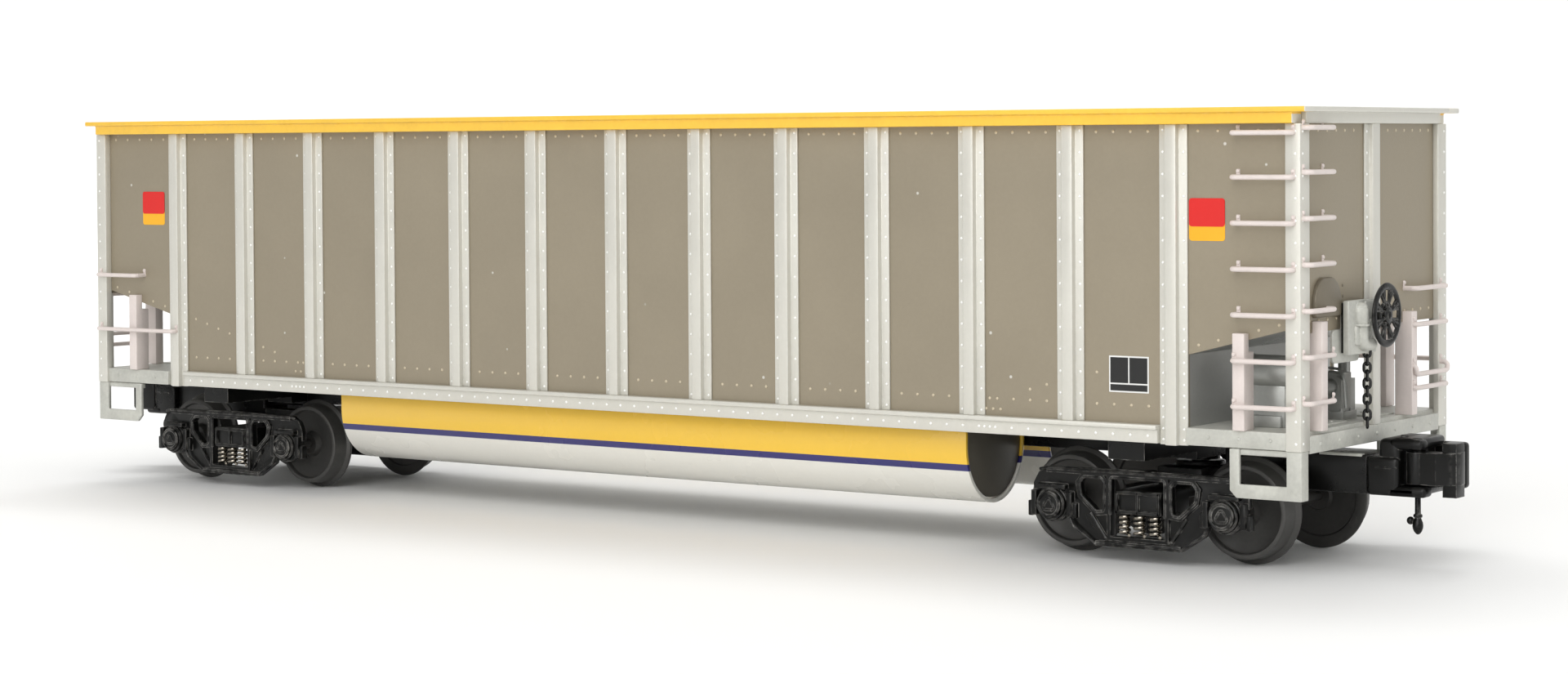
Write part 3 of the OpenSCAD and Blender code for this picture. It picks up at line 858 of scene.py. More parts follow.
class WagonPaint(bpy.types.PropertyGroup):
    """Colours of the wagon."""

    sheet: colour_setting("Sheets", "Side and end sheets", "978d7a")
    trim: colour_setting("Trim", "Posts, sills and end chords", "d3d1c8")
    step: colour_setting("Steps", "Steps and platforms", "bfbfb7")
    chord: colour_setting("Chord", "Side chords", "f0c040")
    band: colour_setting("Band", "Upper band of the tubs", "f4c63f")
    line: colour_setting("Line", "Line under the band", "2f2d6e")
    tub: colour_setting("Tub", "Lower part of the tubs", "e6e4dc")
    plate: colour_setting("Tub ends", "End plates of the tubs", "5a564d")
    iron: colour_setting("Irons", "Ladders, stiles and grab irons", "ddd2cd")
    gear: colour_setting("Gear", "Brake housing, reservoir and valve", "a2a39f")
    black: colour_setting("Black", "Trucks and couplers", "0b0b0a")
    wheel: colour_setting("Wheels", "Wheels and axles", "4a4947")
    steel: colour_setting("Springs", "Truck springs", "a39c90")
    red: colour_setting("Placard red", "Upper part of the placards", "d8201c")
    gold: colour_setting("Placard yellow", "Lower part of the placards", "f0b020")


class WagonRivets(bpy.types.PropertyGroup):
    """Sizes of the rivets."""

    radius: length_setting("Radius", "Radius of a rivet head", 0.00034)
    height: length_setting("Height", "Height of a rivet head", 0.00013)
    post_pitch: length_setting("Post pitch", "Distance between rivets on a post", 0.0041)
    sill_pitch: length_setting("Sill pitch", "Distance between rivets on a sill", 0.0038)
    sheet_pitch: length_setting("Sheet pitch", "Distance between rivets on a sheet", 0.0038)


class WagonTubs(bpy.types.PropertyGroup):
    """Bands of the tubs."""

    yellow_band: length_setting("Yellow band", "Height of the yellow band", 0.0074)
    blue_line: length_setting("Blue line", "Height of the blue line", 0.0014)


class WagonIrons(bpy.types.PropertyGroup):
    """Sizes of rungs and grab irons."""

    bend: length_setting("Bend", "Radius of the bends", 0.0009)
    tab: length_setting("Tab", "Width of the foot of an iron", 0.0008)
    bolt: length_setting("Bolt", "Radius of the bolt head over a foot", 0.00045)
    drop: length_setting("Drop", "How far the looped grab irons hang under their feet", 0.0016)


class WagonTrucks(bpy.types.PropertyGroup):
    """Sizes of truck details."""

    spring_turns: IntProperty(
        name="Spring turns", description="Turns of each spring", default=4, min=2, max=8
    )
    spring_wire: length_setting("Spring wire", "Radius of the spring wire", 0.00032)
    bead: length_setting("Bead", "Radius of the beads around the windows", 0.0003)


class WagonStage(bpy.types.PropertyGroup):
    """Camera and lights."""

    lens: FloatProperty(
        name="Lens", description="Focal length of the camera", default=69.4, subtype="DISTANCE_CAMERA"
    )
    key: power_setting("Key", "Power of the key light", 7.0)
    fill: power_setting("Fill", "Power of the fill light", 5.5)
    front: power_setting("Front", "Power of the low front light", 6.5)
    wash: power_setting("Wash", "Power of the light on the backdrop", 75.0)
    top: power_setting("Top", "Power of the top light", 7.0)
    sky: FloatProperty(name="Sky", description="Strength of the pale surroundings", default=0.5, min=0)


# ---------------------------------------------------------------- stage


def add_light(name, power, size, place, aim):
    """A soft square light that points at a spot."""
    light = bpy.data.lights.new(name, "AREA")
    light.energy = power
    light.size = size
    lamp = bpy.data.objects.new(name, light)
    lamp.location = place
    lamp.rotation_euler = (Vector(aim) - Vector(place)).to_track_quat("-Z", "Y").to_euler()
    bpy.context.scene.collection.objects.link(lamp)


class WAGON_OT_stage(bpy.types.Operator):
    """Makes the pale floor, the soft lights and the camera"""

    bl_idname = "wagon.stage"
    bl_label = "Stage"

    floor_radius = 3.2
    wall_bend = 1.4
    wall_height = 2.6
    camera_place = (0.41351, -0.53609, 0.08142)
    camera_angles = (35.135, 1.175, -0.333)
    camera_shift = (-0.0338, -0.0831)

    def execute(self, context):
        self.make_floor()
        self.make_lights(context)
        self.make_camera(context)
        return {"FINISHED"}

    def make_floor(self):
        """A round floor that bends up into a wall all round."""
        bm = bmesh.new()
        centre = bm.verts.new((0, 0, 0))
        rim = bm.verts.new((self.floor_radius, 0, 0))
        bm.edges.new((centre, rim))
        bent = bmesh.ops.spin(
            bm,
            geom=[rim],
            cent=(self.floor_radius, 0, self.wall_bend),
            axis=(0, -1, 0),
            angle=math.pi / 2,
            steps=12,
            use_duplicate=False,
        )
        top = bmesh.ops.extrude_vert_indiv(bm, verts=verts_of(bent["geom_last"]))["verts"]
        bmesh.ops.translate(bm, verts=top, vec=(0, 0, self.wall_height - self.wall_bend))
        bmesh.ops.spin(
            bm,
            geom=bm.verts[:] + bm.edges[:],
            cent=(0, 0, 0),
            axis=Z_AXIS,
            angle=math.tau,
            steps=96,
            use_merge=True,
            use_duplicate=False,
        )
        bmesh.ops.remove_doubles(bm, verts=bm.verts, dist=0.001)
        bmesh.ops.recalc_face_normals(bm, faces=bm.faces)
        if bm.faces[:] and min(bm.faces, key=lambda f: f.calc_center_median().length).normal.z < 0:
            bmesh.ops.reverse_faces(bm, faces=bm.faces)
        mesh = bpy.data.meshes.new("floor")
        bm.to_mesh(mesh)
        bm.free()
        mesh.shade_smooth()
        material, tree, shader = start_material("floor_card")
        shade = mix_colours(tree, noise(tree, 3.0), (0.86, 0.86, 0.85), (0.88, 0.88, 0.87))
        tree.links.new(shade, shader.inputs["Base Color"])
        shader.inputs["Roughness"].default_value = 0.65
        mesh.materials.append(material)
        floor = bpy.data.objects.new("floor", mesh)
        bpy.context.scene.collection.objects.link(floor)

    def make_lights(self, context):
        settings = context.scene.wagon_stage
        aim = (0, 0, 0.05)
        add_light("key", settings.key, 0.9, (0.45, -1.0, 0.75), (0.1, 0, 0.05))
        add_light("fill", settings.fill, 1.4, (1.7, 0.2, 0.9), aim)
        add_light("top", settings.top, 1.6, (0.1, 0.3, 1.9), aim)
        add_light("front", settings.front, 1.0, (0.2, -1.7, 0.3), (0, 0, 0.03))
        add_light("wash", settings.wash, 2.0, (-1.0, 1.2, 2.6), (-1.9, 2.6, 0.7))
        world = bpy.data.worlds.new("studio")
        world.use_nodes = True
        back = world.node_tree.nodes["Background"]
        back.inputs["Color"].default_value = (1, 1, 1, 1)
        back.inputs["Strength"].default_value = settings.sky
        context.scene.world = world
        context.scene.view_settings.view_transform = "Standard"

    def make_camera(self, context):
        azimuth, elevation, roll = (math.radians(angle) for angle in self.camera_angles)
        back = Vector(
            (
                math.sin(azimuth) * math.cos(elevation),
                -math.cos(azimuth) * math.cos(elevation),
                math.sin(elevation),
            )
        )
        right = Vector((math.cos(azimuth), math.sin(azimuth), 0))
        up = back.cross(right)
        axes = Matrix((right, up, back)).transposed() @ Matrix.Rotation(roll, 3, "Z")
        data = bpy.data.cameras.new("camera")
        data.sensor_width = 36
        data.lens = context.scene.wagon_stage.lens
        data.shift_x, data.shift_y = self.camera_shift
        data.clip_start = 0.05
        camera = bpy.data.objects.new("camera", data)
        camera.matrix_world = Matrix.Translation(self.camera_place) @ axes.to_4x4()
        context.scene.collection.objects.link(camera)
        context.scene.camera = camera


# ---------------------------------------------------------------- body


def post_places(node):
    """Lowest and highest corner of each post of a node, in order along X."""
    return [corners(points) for points in node_solids(node)]


class WAGON_OT_sheets(bpy.types.Operator):
    """Finishes the sheets and adds their rivets"""

    bl_idname = "wagon.sheets"
    bl_label = "Sheets"

    top_margin = 1.3
    sill_margin = 3.4
    slant_step = 1.05
    end_slant_lift = 9.2
    next_slant_lift = 3.2
    close_share = 0.46
    cluster_shares = (-0.2, 0.25, 0.68)
    cluster_drop = 2.1

    def execute(self, context):
        sheets = [
            "side_sheet_right",
            "side_sheet_left",
            "end_sheet_brake_end",
            "end_sheet_plain_end",
        ]
        for node in sheets:
            coat_node(node, taupe_sheet())
        for node in ("slope_sheet_brake_end", "slope_sheet_plain_end", "floor_sheet"):
            coat_node(node, inner_grey())
        self.make_rivets(context)
        return {"FINISHED"}

    def make_rivets(self, context):
        """Rivets of the side sheets, from panel to panel, and of the end sheets."""
        sizes = context.scene.wagon_rivets
        pitch = sizes.sheet_pitch / MM
        posts = post_places("side_posts_right")
        low, high = node_box("side_sheet_right")
        top_z = high.z - self.top_margin
        bottom_z = node_box("side_sill_right")[1].z + self.sill_margin
        row = [(step - 1.5) * pitch for step in range(4)]
        spots = []
        last = len(posts) - 2
        for index, (left, right) in enumerate(zip(posts, posts[1:])):
            middle = (left[1].x + right[0].x) / 2
            way = 1 if index > last / 2 else -1
            depth = min(index, last - index)
            spots += [(middle + x, z) for z in (top_z, bottom_z) for x in row]
            slant = [(middle - x * way, step * self.slant_step) for step, x in enumerate(row)]
            if depth == 0:
                # The data plate hides all but the last one at the brake end
                shown = slant if way < 0 else slant[-1:]
                spots += [(x, bottom_z + self.end_slant_lift - drop) for x, drop in shown]
            elif depth == 1:
                spots += [(x, bottom_z + self.next_slant_lift - drop) for x, drop in slant[:2]]
                inner = middle + row[0] * way
                spots += [(inner - self.close_share * pitch * way, bottom_z)]
                cluster_z = bottom_z - self.cluster_drop
                spots += [(inner - share * pitch * way, cluster_z) for share in self.cluster_shares]
        spots += self.end_bay_spots(posts, top_z)
        bm = bmesh.new()
        head = (sizes.radius / MM, sizes.height / MM)
        for side in (1, -1):
            places = [(x * side, low.y * side, z) for x, z in spots]
            add_domes(bm, places, -Y_AXIS * side, *head)
        end_low, end_high = node_box("end_sheet_brake_end")
        for end in (1, -1):
            rows = [(step - 7) * pitch for step in range(15) if abs(step - 7) > 1]
            places = [(end_high.x * end, y, z) for y in rows for z in (top_z, end_low.z + 2.2)]
            add_domes(bm, places, X_AXIS * end, *head)
        make_piece(bm, "sheet_rivets", highlit_rivet_taupe(), BODY, smooth=180)
        self.make_bulges(end_high.x)

    def end_bay_spots(self, posts, top_z):
        """Rivets over an open bay: a row under the chord and one along the slanted lower edge."""
        last = posts[-1][1].x
        corner = node_box("corner_posts")[1].x - 3.1
        slope = node_box("slope_sheet_brake_end")
        bulkhead = slope[0].x + 1
        edge_z = 41.3
        rise = (node_box("end_sheet_brake_end")[0].z + 1 - edge_z) / (slope[1].x - bulkhead)
        count = 5
        spots = []
        for step in range(count):
            x = last + (corner - last) * (step + 0.5) / count
            for end in (1, -1):
                spots += [(x * end, top_z), (x * end, edge_z + rise * (x - bulkhead) + 1.3)]
        return spots

    def make_bulges(self, wall_x):
        """The raised pocket with a rounded top low on each end sheet, beside the ladder, coloured darker
        than the sheet as painted shade.
        """
        outline = [(-25.7, 48.6), (-14.4, 48.6), (-14.4, 52), (-15.6, 54.6)]
        outline += [(-17.6, 56), (-22.6, 56), (-24.6, 54.6), (-25.7, 52)]
        bm = bmesh.new()
        for end in (1, -1):
            turn = Matrix.Rotation(math.pi / 2 * end, 4, "Z") @ Matrix.Rotation(math.pi / 2, 4, "X")
            place = Matrix.Translation((wall_x * end, 0, 0)) @ turn
            add_plate(bm, outline, 0.9, place, 0.8, 0.5)
            rivets = [place @ Vector((-12.6, z, 0)) for z in (50.2, 52.2, 54.2)]
            add_domes(bm, rivets, X_AXIS * end, 0.34, 0.16)
        make_piece(bm, "end_pockets", pocket_taupe_painted_shade(), BODY, mend=True)


def coat_node(node, finish):
    """Gives a CAD node its finish."""
    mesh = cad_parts[node].data
    mesh.materials.clear()
    mesh.materials.append(finish)


class WAGON_OT_posts(bpy.types.Operator):
    """Makes the side, corner and end posts with their rivets"""

    bl_idname = "wagon.posts"
    bl_label = "Posts"

    def execute(self, context):
        for node in ("side_posts_right", "side_posts_left", "corner_posts", "end_posts"):
            bm = bmesh.new()
            softened(bm, node, 0.12)
            name = node.replace("_posts", "_post_bars")
            make_piece(bm, name, silver_trim(), BODY, [node])
        self.make_rivets(context)
        return {"FINISHED"}

    def make_rivets(self, context):
        sizes = context.scene.wagon_rivets
        radius, height = sizes.radius / MM * 0.85, sizes.height / MM
        pitch = sizes.post_pitch / MM
        bm = bmesh.new()
        sheet_y = node_box("side_sheet_right")[0].y - 0.45
        posts = post_places("side_posts_right")
        spots = []
        for index, (low, high) in enumerate(posts):
            count = int((high.z - low.z - 2) / pitch)
            heights = [low.z + 1 + (high.z - low.z - 2) * step / count for step in range(count + 1)]
            if index in (0, len(posts) - 1):
                heights += [z + pitch / 2 for z in heights if z < 43]
            spots += [(x, z) for z in heights for x in (low.x + 0.75, high.x - 0.75)]
        for side in (1, -1):
            add_domes(bm, [(x, sheet_y * side, z) for x, z in spots], -Y_AXIS * side, radius, height)
        self.corner_rivets(bm, radius, height, pitch)
        make_piece(bm, "post_rivets", highlit_rivet_silver(), BODY, smooth=180)

    def corner_rivets(self, bm, radius, height, pitch):
        """A row up each face of the corner posts and the flanges of the end posts."""
        low, high = node_box("corner_posts")
        count = int((high.z - low.z - 3) / pitch)
        foot_low, foot_high = node_box("end_posts")
        end_sheet = node_box("end_sheet_brake_end")[1].x
        heights = [low.z + 1.5 + (high.z - low.z - 3) * step / count for step in range(count + 1)]
        upper = [z for z in heights if z > foot_low.z + 2]
        for end in (1, -1):
            faces = [(high.x * end, (high.y - 1.1) * side, z) for z in heights for side in (1, -1)]
            flange_x = (end_sheet + 0.4) * end
            faces += [(flange_x, (foot_high.y - 0.8) * side, z) for z in upper for side in (1, -1)]
            add_domes(bm, faces, X_AXIS * end, radius, height)
            for side in (1, -1):
                edge = [((high.x - 1.0) * end, high.y * side, z) for z in heights]
                add_domes(bm, edge, Y_AXIS * side, radius, height)


class WAGON_OT_sills(bpy.types.Operator):
    """Makes the side sills with their rivets"""

    bl_idname = "wagon.sills"
    bl_label = "Sills"

    def execute(self, context):
        sizes = context.scene.wagon_rivets
        radius, height = sizes.radius / MM * 0.9, sizes.height / MM
        for node in ("side_sill_right", "side_sill_left"):
            bm = bmesh.new()
            softened(bm, node, 0.15)
            name = node.replace("side_sill", "sill_bar")
            make_piece(bm, name, silver_trim(), BODY, [node])
        low, high = node_box("side_sill_right")
        pitch = sizes.sill_pitch / MM
        count = int((high.x - low.x - 4) / pitch)
        bm = bmesh.new()
        web_y = low.y + 0.7
        places = [(step - count / 2) * pitch for step in range(count + 1)]
        posts = post_places("side_posts_right")
        inner = (posts[1][1].x + posts[2][0].x) / 2 + 1.5 * pitch
        start = min(places, key=lambda x: abs(x - inner))
        close = [start + pitch * share for share in (1 / 3, 2 / 3)]
        places += close + [-x for x in close]
        for side in (1, -1):
            spots = [(x * side, web_y * side, low.z + 1.4) for x in places]
            add_domes(bm, spots, -Y_AXIS * side, radius, height)
        make_piece(bm, "sill_rivets", highlit_rivet_silver(), BODY, smooth=180)
        return {"FINISHED"}


class WAGON_OT_chords(bpy.types.Operator):
    """Makes the top chords"""

    bl_idname = "wagon.chords"
    bl_label = "Top chords"

    def execute(self, context):
        sides = ("side_chord_right", "side_chord_left")
        ends = ("end_chord_brake_end", "end_chord_plain_end")
        kinds = ((sides, chord_enamel, "yellow_enamel"), (ends, silver_trim, "silver_frame"))
        for nodes, finish, slot in kinds:
            for node in nodes:
                bm = bmesh.new()
                softened(bm, node, 0.22, segments=3)
                make_piece(bm, node.replace("chord", "cap"), finish(), BODY, [node])
        return {"FINISHED"}


class WAGON_OT_tubs(bpy.types.Operator):
    """Makes the rounded tubs under the body"""

    bl_idname = "wagon.tubs"
    bl_label = "Tubs"

    straight = 4.0
    sheet = 0.8

    def execute(self, context):
        for node in ("tub_right", "tub_left"):
            self.make_tub(node)
        bm = bmesh.new()
        softened(bm, "tub_end_plates", 0.1, sharp=60)
        make_piece(bm, "tub_end_discs", dark_plate(), BODY, ["tub_end_plates"])
        return {"FINISHED"}

    def make_tub(self, node):
        """One tub: half of an oval with straight sides, drawn out along the wagon and thickened."""
        low, high = node_box(node)
        centre_y = (low.y + high.y) / 2
        half = (high.y - low.y) / 2
        bend_z = high.z - self.straight
        bm = bmesh.new()
        oval = Matrix.Rotation(math.pi / 2, 4, "Y") @ Matrix.Diagonal((bend_z - low.z, half, 1, 1))
        place = Matrix.Translation((low.x, centre_y, bend_z)) @ oval
        bmesh.ops.create_circle(bm, segments=80, radius=1, matrix=place)
        bmesh.ops.bisect_plane(
            bm,
            geom=bm.verts[:] + bm.edges[:],
            plane_co=(0, 0, bend_z),
            plane_no=Z_AXIS,
            clear_outer=True,
            dist=0.001,
        )
        ends = [vert for vert in bm.verts if len(vert.link_edges) == 1]
        tops = bmesh.ops.extrude_vert_indiv(bm, verts=ends)["verts"]
        bmesh.ops.translate(bm, verts=tops, vec=(0, 0, self.straight))
        grown = bmesh.ops.extrude_edge_only(bm, edges=bm.edges)["geom"]
        bmesh.ops.translate(bm, verts=verts_of(grown), vec=(high.x - low.x, 0, 0))
        bmesh.ops.recalc_face_normals(bm, faces=bm.faces)
        lowest = min(bm.faces, key=lambda face: face.calc_center_median().z)
        if lowest.normal.z > 0:
            bmesh.ops.reverse_faces(bm, faces=bm.faces)
        bmesh.ops.solidify(bm, geom=bm.faces[:], thickness=self.sheet)
        rims = [edge for edge in bm.edges if edge.calc_face_angle(0) > 1]
        round_edges(bm, rims, 0.12)
        make_piece(bm, node + "_skin", tub_enamel(), BODY, [node])


class WAGON_OT_underframe(bpy.types.Operator):
    """Finishes the centre sill and the body bolsters"""

    bl_idname = "wagon.underframe"
    bl_label = "Underframe"

    def execute(self, context):
        for node in ("centre_sill", "body_bolster_brake_end", "body_bolster_plain_end"):
            coat_node(node, cast_black())
        return {"FINISHED"}


class WAGON_OT_platforms(bpy.types.Operator):
    """Makes the end platforms and the stirrup steps"""

    bl_idname = "wagon.platforms"
    bl_label = "Platforms and steps"

    def execute(self, context):
        for node in ("platform_brake_end", "platform_plain_end", "steps_brake_end", "steps_plain_end"):
            bm = bmesh.new()
            softened(bm, node, 0.18)
            make_piece(bm, node + "_casting", worn_silver(), BODY, [node])
        self.make_bolts()
        return {"FINISHED"}

    def make_bolts(self):
        """Bolt heads along the end beams and the side beams, and pads on the decks."""
        bm = bmesh.new()
        low, high = node_box("platform_brake_end")
        deck_z = high.z
        for end in (1, -1):
            for step in range(7):
                y = (step - 3) * 8.2
                add_dome(bm, (high.x * end, y, low.z + 1.6), X_AXIS * end, 0.4, 0.3)
            for side in (1, -1):
                for step in range(3):
                    x = low.x + 5 + step * 6.5
                    add_dome(bm, (x * end, high.y * side, low.z + 2.4), Y_AXIS * side, 0.4, 0.3)
                pad_z = deck_z + 0.35
                pad = [(147 * end, 6 * side, deck_z - 0.1), (160 * end, 15 * side, pad_z)]
                add_block(bm, *corners(pad), 0.12)
                for step in range(4):
                    add_dome(bm, ((148 + step * 3.6) * end, 10.5 * side, pad_z), Z_AXIS, 0.45, 0.3)
        make_piece(bm, "platform_bolts", worn_silver(), BODY)


class WAGON_OT_irons(bpy.types.Operator):
    """Makes the stiles, the ladder rungs and the grab irons"""

    bl_idname = "wagon.irons"
    bl_label = "Ladders and grab irons"

    looped_heights = (36, 38)
    tab_thickness = 0.14

    def execute(self, context):
        bm = bmesh.new()
        softened(bm, "ladder_stiles", 0.15)
        make_piece(bm, "ladder_stile_posts", iron_enamel(), BODY, ["ladder_stiles"])
        for node in ("ladder_right", "ladder_left", "grab_irons_right", "grab_irons_left"):
            self.make_irons(node, context.scene.wagon_irons)
        return {"FINISHED"}

    def make_irons(self, node, sizes):
        """Bent rods in the places of a node's solids, each with its feet where the solid's brackets end."""
        bm = bmesh.new()
        for points in node_solids(node):
            low, high = corners(points)
            along = 0 if high.x - low.x > high.y - low.y else 1
            across = 1 - along
            centre = (low[across] + high[across]) / 2
            outward = 1 if centre > 0 else -1
            radius = (high.z - low.z) / 2
            z = (low.z + high.z) / 2
            line = (high[across] if outward > 0 else low[across]) - outward * radius
            ends = []
            for end in (low[along], high[along]):
                near = [p[across] for p in points if abs(p[along] - end) < 1.5]
                seat = min(near) if outward > 0 else max(near)
                inset = end + radius * (1 if end == low[along] else -1)
                ends.append((inset, seat))
            lowest, highest = self.looped_heights
            looped = "grab" in node and along == 1 and lowest < z < highest
            drop = sizes.drop / MM if looped else 0
            self.add_iron(bm, along, across, ends, line, z, outward, radius, sizes, drop)
        make_piece(bm, node + "_rods", iron_enamel(), BODY, [node], mend=True)

    def add_iron(self, bm, along, across, ends, line, z, outward, radius, sizes, drop):
        """One bent iron with a tab and a bolt at each end, in a loop that hangs by drop if that isn't 0."""

        def spot(a, b, height):
            place = Vector((0, 0, height))
            place[along] = a
            place[across] = b
            return place

        (first, first_seat), (last, last_seat) = ends
        path = [spot(first, first_seat, z), spot(first, line, z)]
        if drop:
            path += [spot(first, line, z - drop), spot(last, line, z - drop)]
        path += [spot(last, line, z), spot(last, last_seat, z)]
        add_bent_rod(bm, path, radius, drop / 2 - 0.05 if drop else sizes.bend / MM)
        normal = spot(0, outward, 0)
        tab = sizes.tab / MM / 2
        for place, seat in ends:
            face = seat + outward * self.tab_thickness
            tab_corners = corners([spot(place - tab, seat, z - 0.4), spot(place + tab, face, z + 1.5)])
            add_block(bm, *tab_corners, 0.05)
            add_dome(bm, spot(place, face, z + 1.1), normal, sizes.bolt / MM, 0.3, sides=10)


# ---------------------------------------------------------------- brake gear


class WAGON_OT_brake_gear(bpy.types.Operator):
    """Makes the brake wheel, its housing and chain, the air reservoir and the control valve"""

    bl_idname = "wagon.brake_gear"
    bl_label = "Brake gear"

    spokes = 8
    rim_flatness = 0.6

    def execute(self, context):
        self.make_wheel()
        self.make_housing()
        self.make_chain()
        self.make_reservoir()
        self.make_valve()
        return {"FINISHED"}

    def make_wheel(self):
        """The brake wheel: a flattened rim, an inner ring, a hub and spokes that fork at the rim."""
        low, high = node_box("brake_wheel")
        centre = (low + high) / 2
        radius = (high.z - low.z) / 2
        rim = 0.72
        hub_x = low.x
        rim_x = high.x - rim
        bm = bmesh.new()
        hoop = bmesh.new()
        add_ring(hoop, (0, centre.y, centre.z), X_AXIS, radius - rim, rim, steps=56, sides=12)
        bmesh.ops.scale(hoop, vec=(self.rim_flatness, 1, 1), verts=hoop.verts)
        bmesh.ops.translate(hoop, vec=(rim_x, 0, 0), verts=hoop.verts)
        append_part(bm, hoop)
        add_ring(bm, (rim_x - 0.2, centre.y, centre.z), X_AXIS, 2.4, 0.34, steps=32, sides=8)
        add_bar(bm, (hub_x, centre.y, centre.z), (hub_x + 1.5, centre.y, centre.z), 1.6, rounding=0.2)
        add_dome(bm, (hub_x + 1.5, centre.y, centre.z), X_AXIS, 0.8, 0.45, sides=16, rings=8)
        for index in range(self.spokes):
            angle = math.tau * (index + 0.5) / self.spokes
            out = Vector((0, math.cos(angle), math.sin(angle)))
            across = Vector((0, -out.z, out.y))
            hub = Vector((hub_x + 0.9, centre.y, centre.z))
            tip = Vector((rim_x, centre.y, centre.z)) + out * (radius - rim)
            add_bar(bm, hub + out * 0.9, tip, 0.34, sides=10)
            for lean in (1, -1):
                add_bar(bm, hub + out * 2.0, tip + across * lean * 1.1 - out * 0.15, 0.24, sides=8)
        make_piece(bm, "brake_wheel_casting", cast_black(), BODY, ["brake_wheel"], mend=True)

    def make_housing(self):
        """The brake housing: a plate with a half-round column, a keyhole and a hook, off the wall."""
        low, high = node_box("brake_housing")
        wheel_low, wheel_high = node_box("brake_wheel")
        shaft = (wheel_low + wheel_high) / 2
        wall_x = node_box("end_sheet_brake_end")[1].x
        front_x = wall_x + 2.5
        plate = ((wall_x + 1.2, low.y + 0.2, low.z - 0.9), (front_x, shaft.y + 1, high.z))
        boss = ((front_x - 0.3, low.y + 7, shaft.z - 2.6), (front_x + 0.3, shaft.y + 0.6, high.z - 0.3))
        pad = ((front_x - 0.5, low.y + 2.6, low.z + 0.8), (front_x + 0.5, shaft.y - 1.6, low.z + 4.6))
        bm = bmesh.new()
        for block, rounding in ((plate, 0.25), (boss, 0.25), (pad, 0.45)):
            add_block(bm, *block, rounding)
        column = Vector((front_x, low.y + 4.9, 0))
        waist = low.z + 4.7
        add_bar(bm, column + Z_AXIS * waist, column + Z_AXIS * (high.z - 1.5), 1.75, rounding=0.3)
        add_dome(bm, column + Z_AXIS * (high.z - 1.5), Z_AXIS, 1.6, 1.1, sides=20, rings=10)
        add_bar(bm, column + Z_AXIS * (waist - 0.25), column + Z_AXIS * (waist + 0.2), 1.95, rounding=0.12)
        hook_y = column.y + 4.4
        hook = [
            (front_x + 0.3, column.y + 0.2, waist),
            (front_x + 0.3, column.y + 0.2, low.z + 0.8),
            (front_x + 0.3, hook_y, low.z + 0.8),
            (front_x + 0.3, hook_y, low.z + 2.4),
        ]
        add_bent_rod(bm, hook[:2] + [hook[2]], 1.25, 1.3, sides=16, steps=8)
        add_bent_rod(bm, hook[1:], 0.5, 0.9, sides=12, steps=6)
        eye = Vector((front_x + 0.5, hook_y - 0.6, low.z))
        add_ring(bm, eye + Z_AXIS * 4.9, X_AXIS, 0.55, 0.22, steps=20, sides=8)
        add_bar(bm, eye + Z_AXIS * 3.1, eye + Z_AXIS * 4.4, 0.25)
        foot = [(low.y - 2.8, 39.6), (low.y + 8.9, 39.6), (low.y + 8.9, 46), (low.y - 2.8, 46)]
        upright = Matrix.Rotation(math.pi / 2, 4, "Z") @ Matrix.Rotation(math.pi / 2, 4, "X")
        add_plate(bm, foot, 0.5, Matrix.Translation((wall_x, 0, 0)) @ upright, 1.2, 0.12)
        add_block(bm, (wall_x, low.y + 1.6, low.z - 1), (wall_x + 0.45, shaft.y - 2, high.z - 2), 0.1)
        name = "brake_housing"
        make_piece(bm, name + "_casting", worn_silver(), BODY, [name], mend=True)
        bm = bmesh.new()
        shaft_end = (wheel_low.x + 0.3, shaft.y, shaft.z)
        add_bar(bm, (front_x - 0.2, shaft.y, shaft.z), shaft_end, 1.6, rounding=0.15)
        # A black block fills the gap between the wall plate and the housing plate: painted shadow of that
        # gap.
        shadow_gap_fill = ((wall_x + 0.45, low.y + 1, low.z - 0.6), (wall_x + 1.2, shaft.y + 0.4, high.z - 0.4))
        add_block(bm, *shadow_gap_fill, 0.1)
        make_piece(bm, "brake_shaft_and_shadow_gap", cast_black(), BODY)

    def make_chain(self):
        """Links that hang in each other, every second one turned a quarter."""
        low, high = node_box("brake_chain")
        centre = (low + high) / 2
        link, wire, pitch = 1.05, 0.3, 1.5
        count = int((high.z - low.z) / pitch)
        bm = bmesh.new()
        for index in range(count):
            z = high.z - (index + 0.5) * pitch
            turn = Matrix.Rotation(math.pi / 2 * (index % 2) + 0.5, 4, "Z")
            across = turn @ X_AXIS
            half = across * 0.62
            middle = Vector((centre.x, centre.y, z))
            reach = Z_AXIS * (link - 0.1)
            path = [
                middle + half,
                middle + half + reach,
                middle - half + reach,
                middle - half - reach,
                middle + half - reach,
                middle + half * 1.001,
            ]
            add_bent_rod(bm, path, wire, 0.6, sides=8, steps=4)
        make_piece(bm, "brake_chain_links", chain_black(), BODY, ["brake_chain"], mend=True)

    def make_reservoir(self):
        """The air reservoir, a drum with domed ends and two bands, and its saddle."""
        low, high = node_box("air_reservoir")
        centre = (low + high) / 2
        radius = (high.z - low.z) / 2
        length = high.x - low.x
        crown = 1.3
        bm = bmesh.new()
        half = [(0, 0), (0.55, 0.15), (0.85, 0.6), (0.97, crown), (1, crown + 0.2)]
        profile = [(radius * share, along) for share, along in half]
        profile += [(radius * share, length - along) for share, along in reversed(half)]
        add_turned(bm, profile, (low.x, centre.y, centre.z), X_AXIS, steps=56)
        for x in (low.x + 2.2, high.x - 2.2):
            add_ring(bm, (x, centre.y, centre.z), X_AXIS, radius, 0.22, steps=48, sides=8)
        make_piece(bm, "air_reservoir_drum", gear_grey(), BODY, ["air_reservoir"], mend=True)
        bm = bmesh.new()
        softened(bm, "reservoir_mount", 0.15)
        make_piece(bm, "reservoir_saddle", gear_grey(), BODY, ["reservoir_mount"])

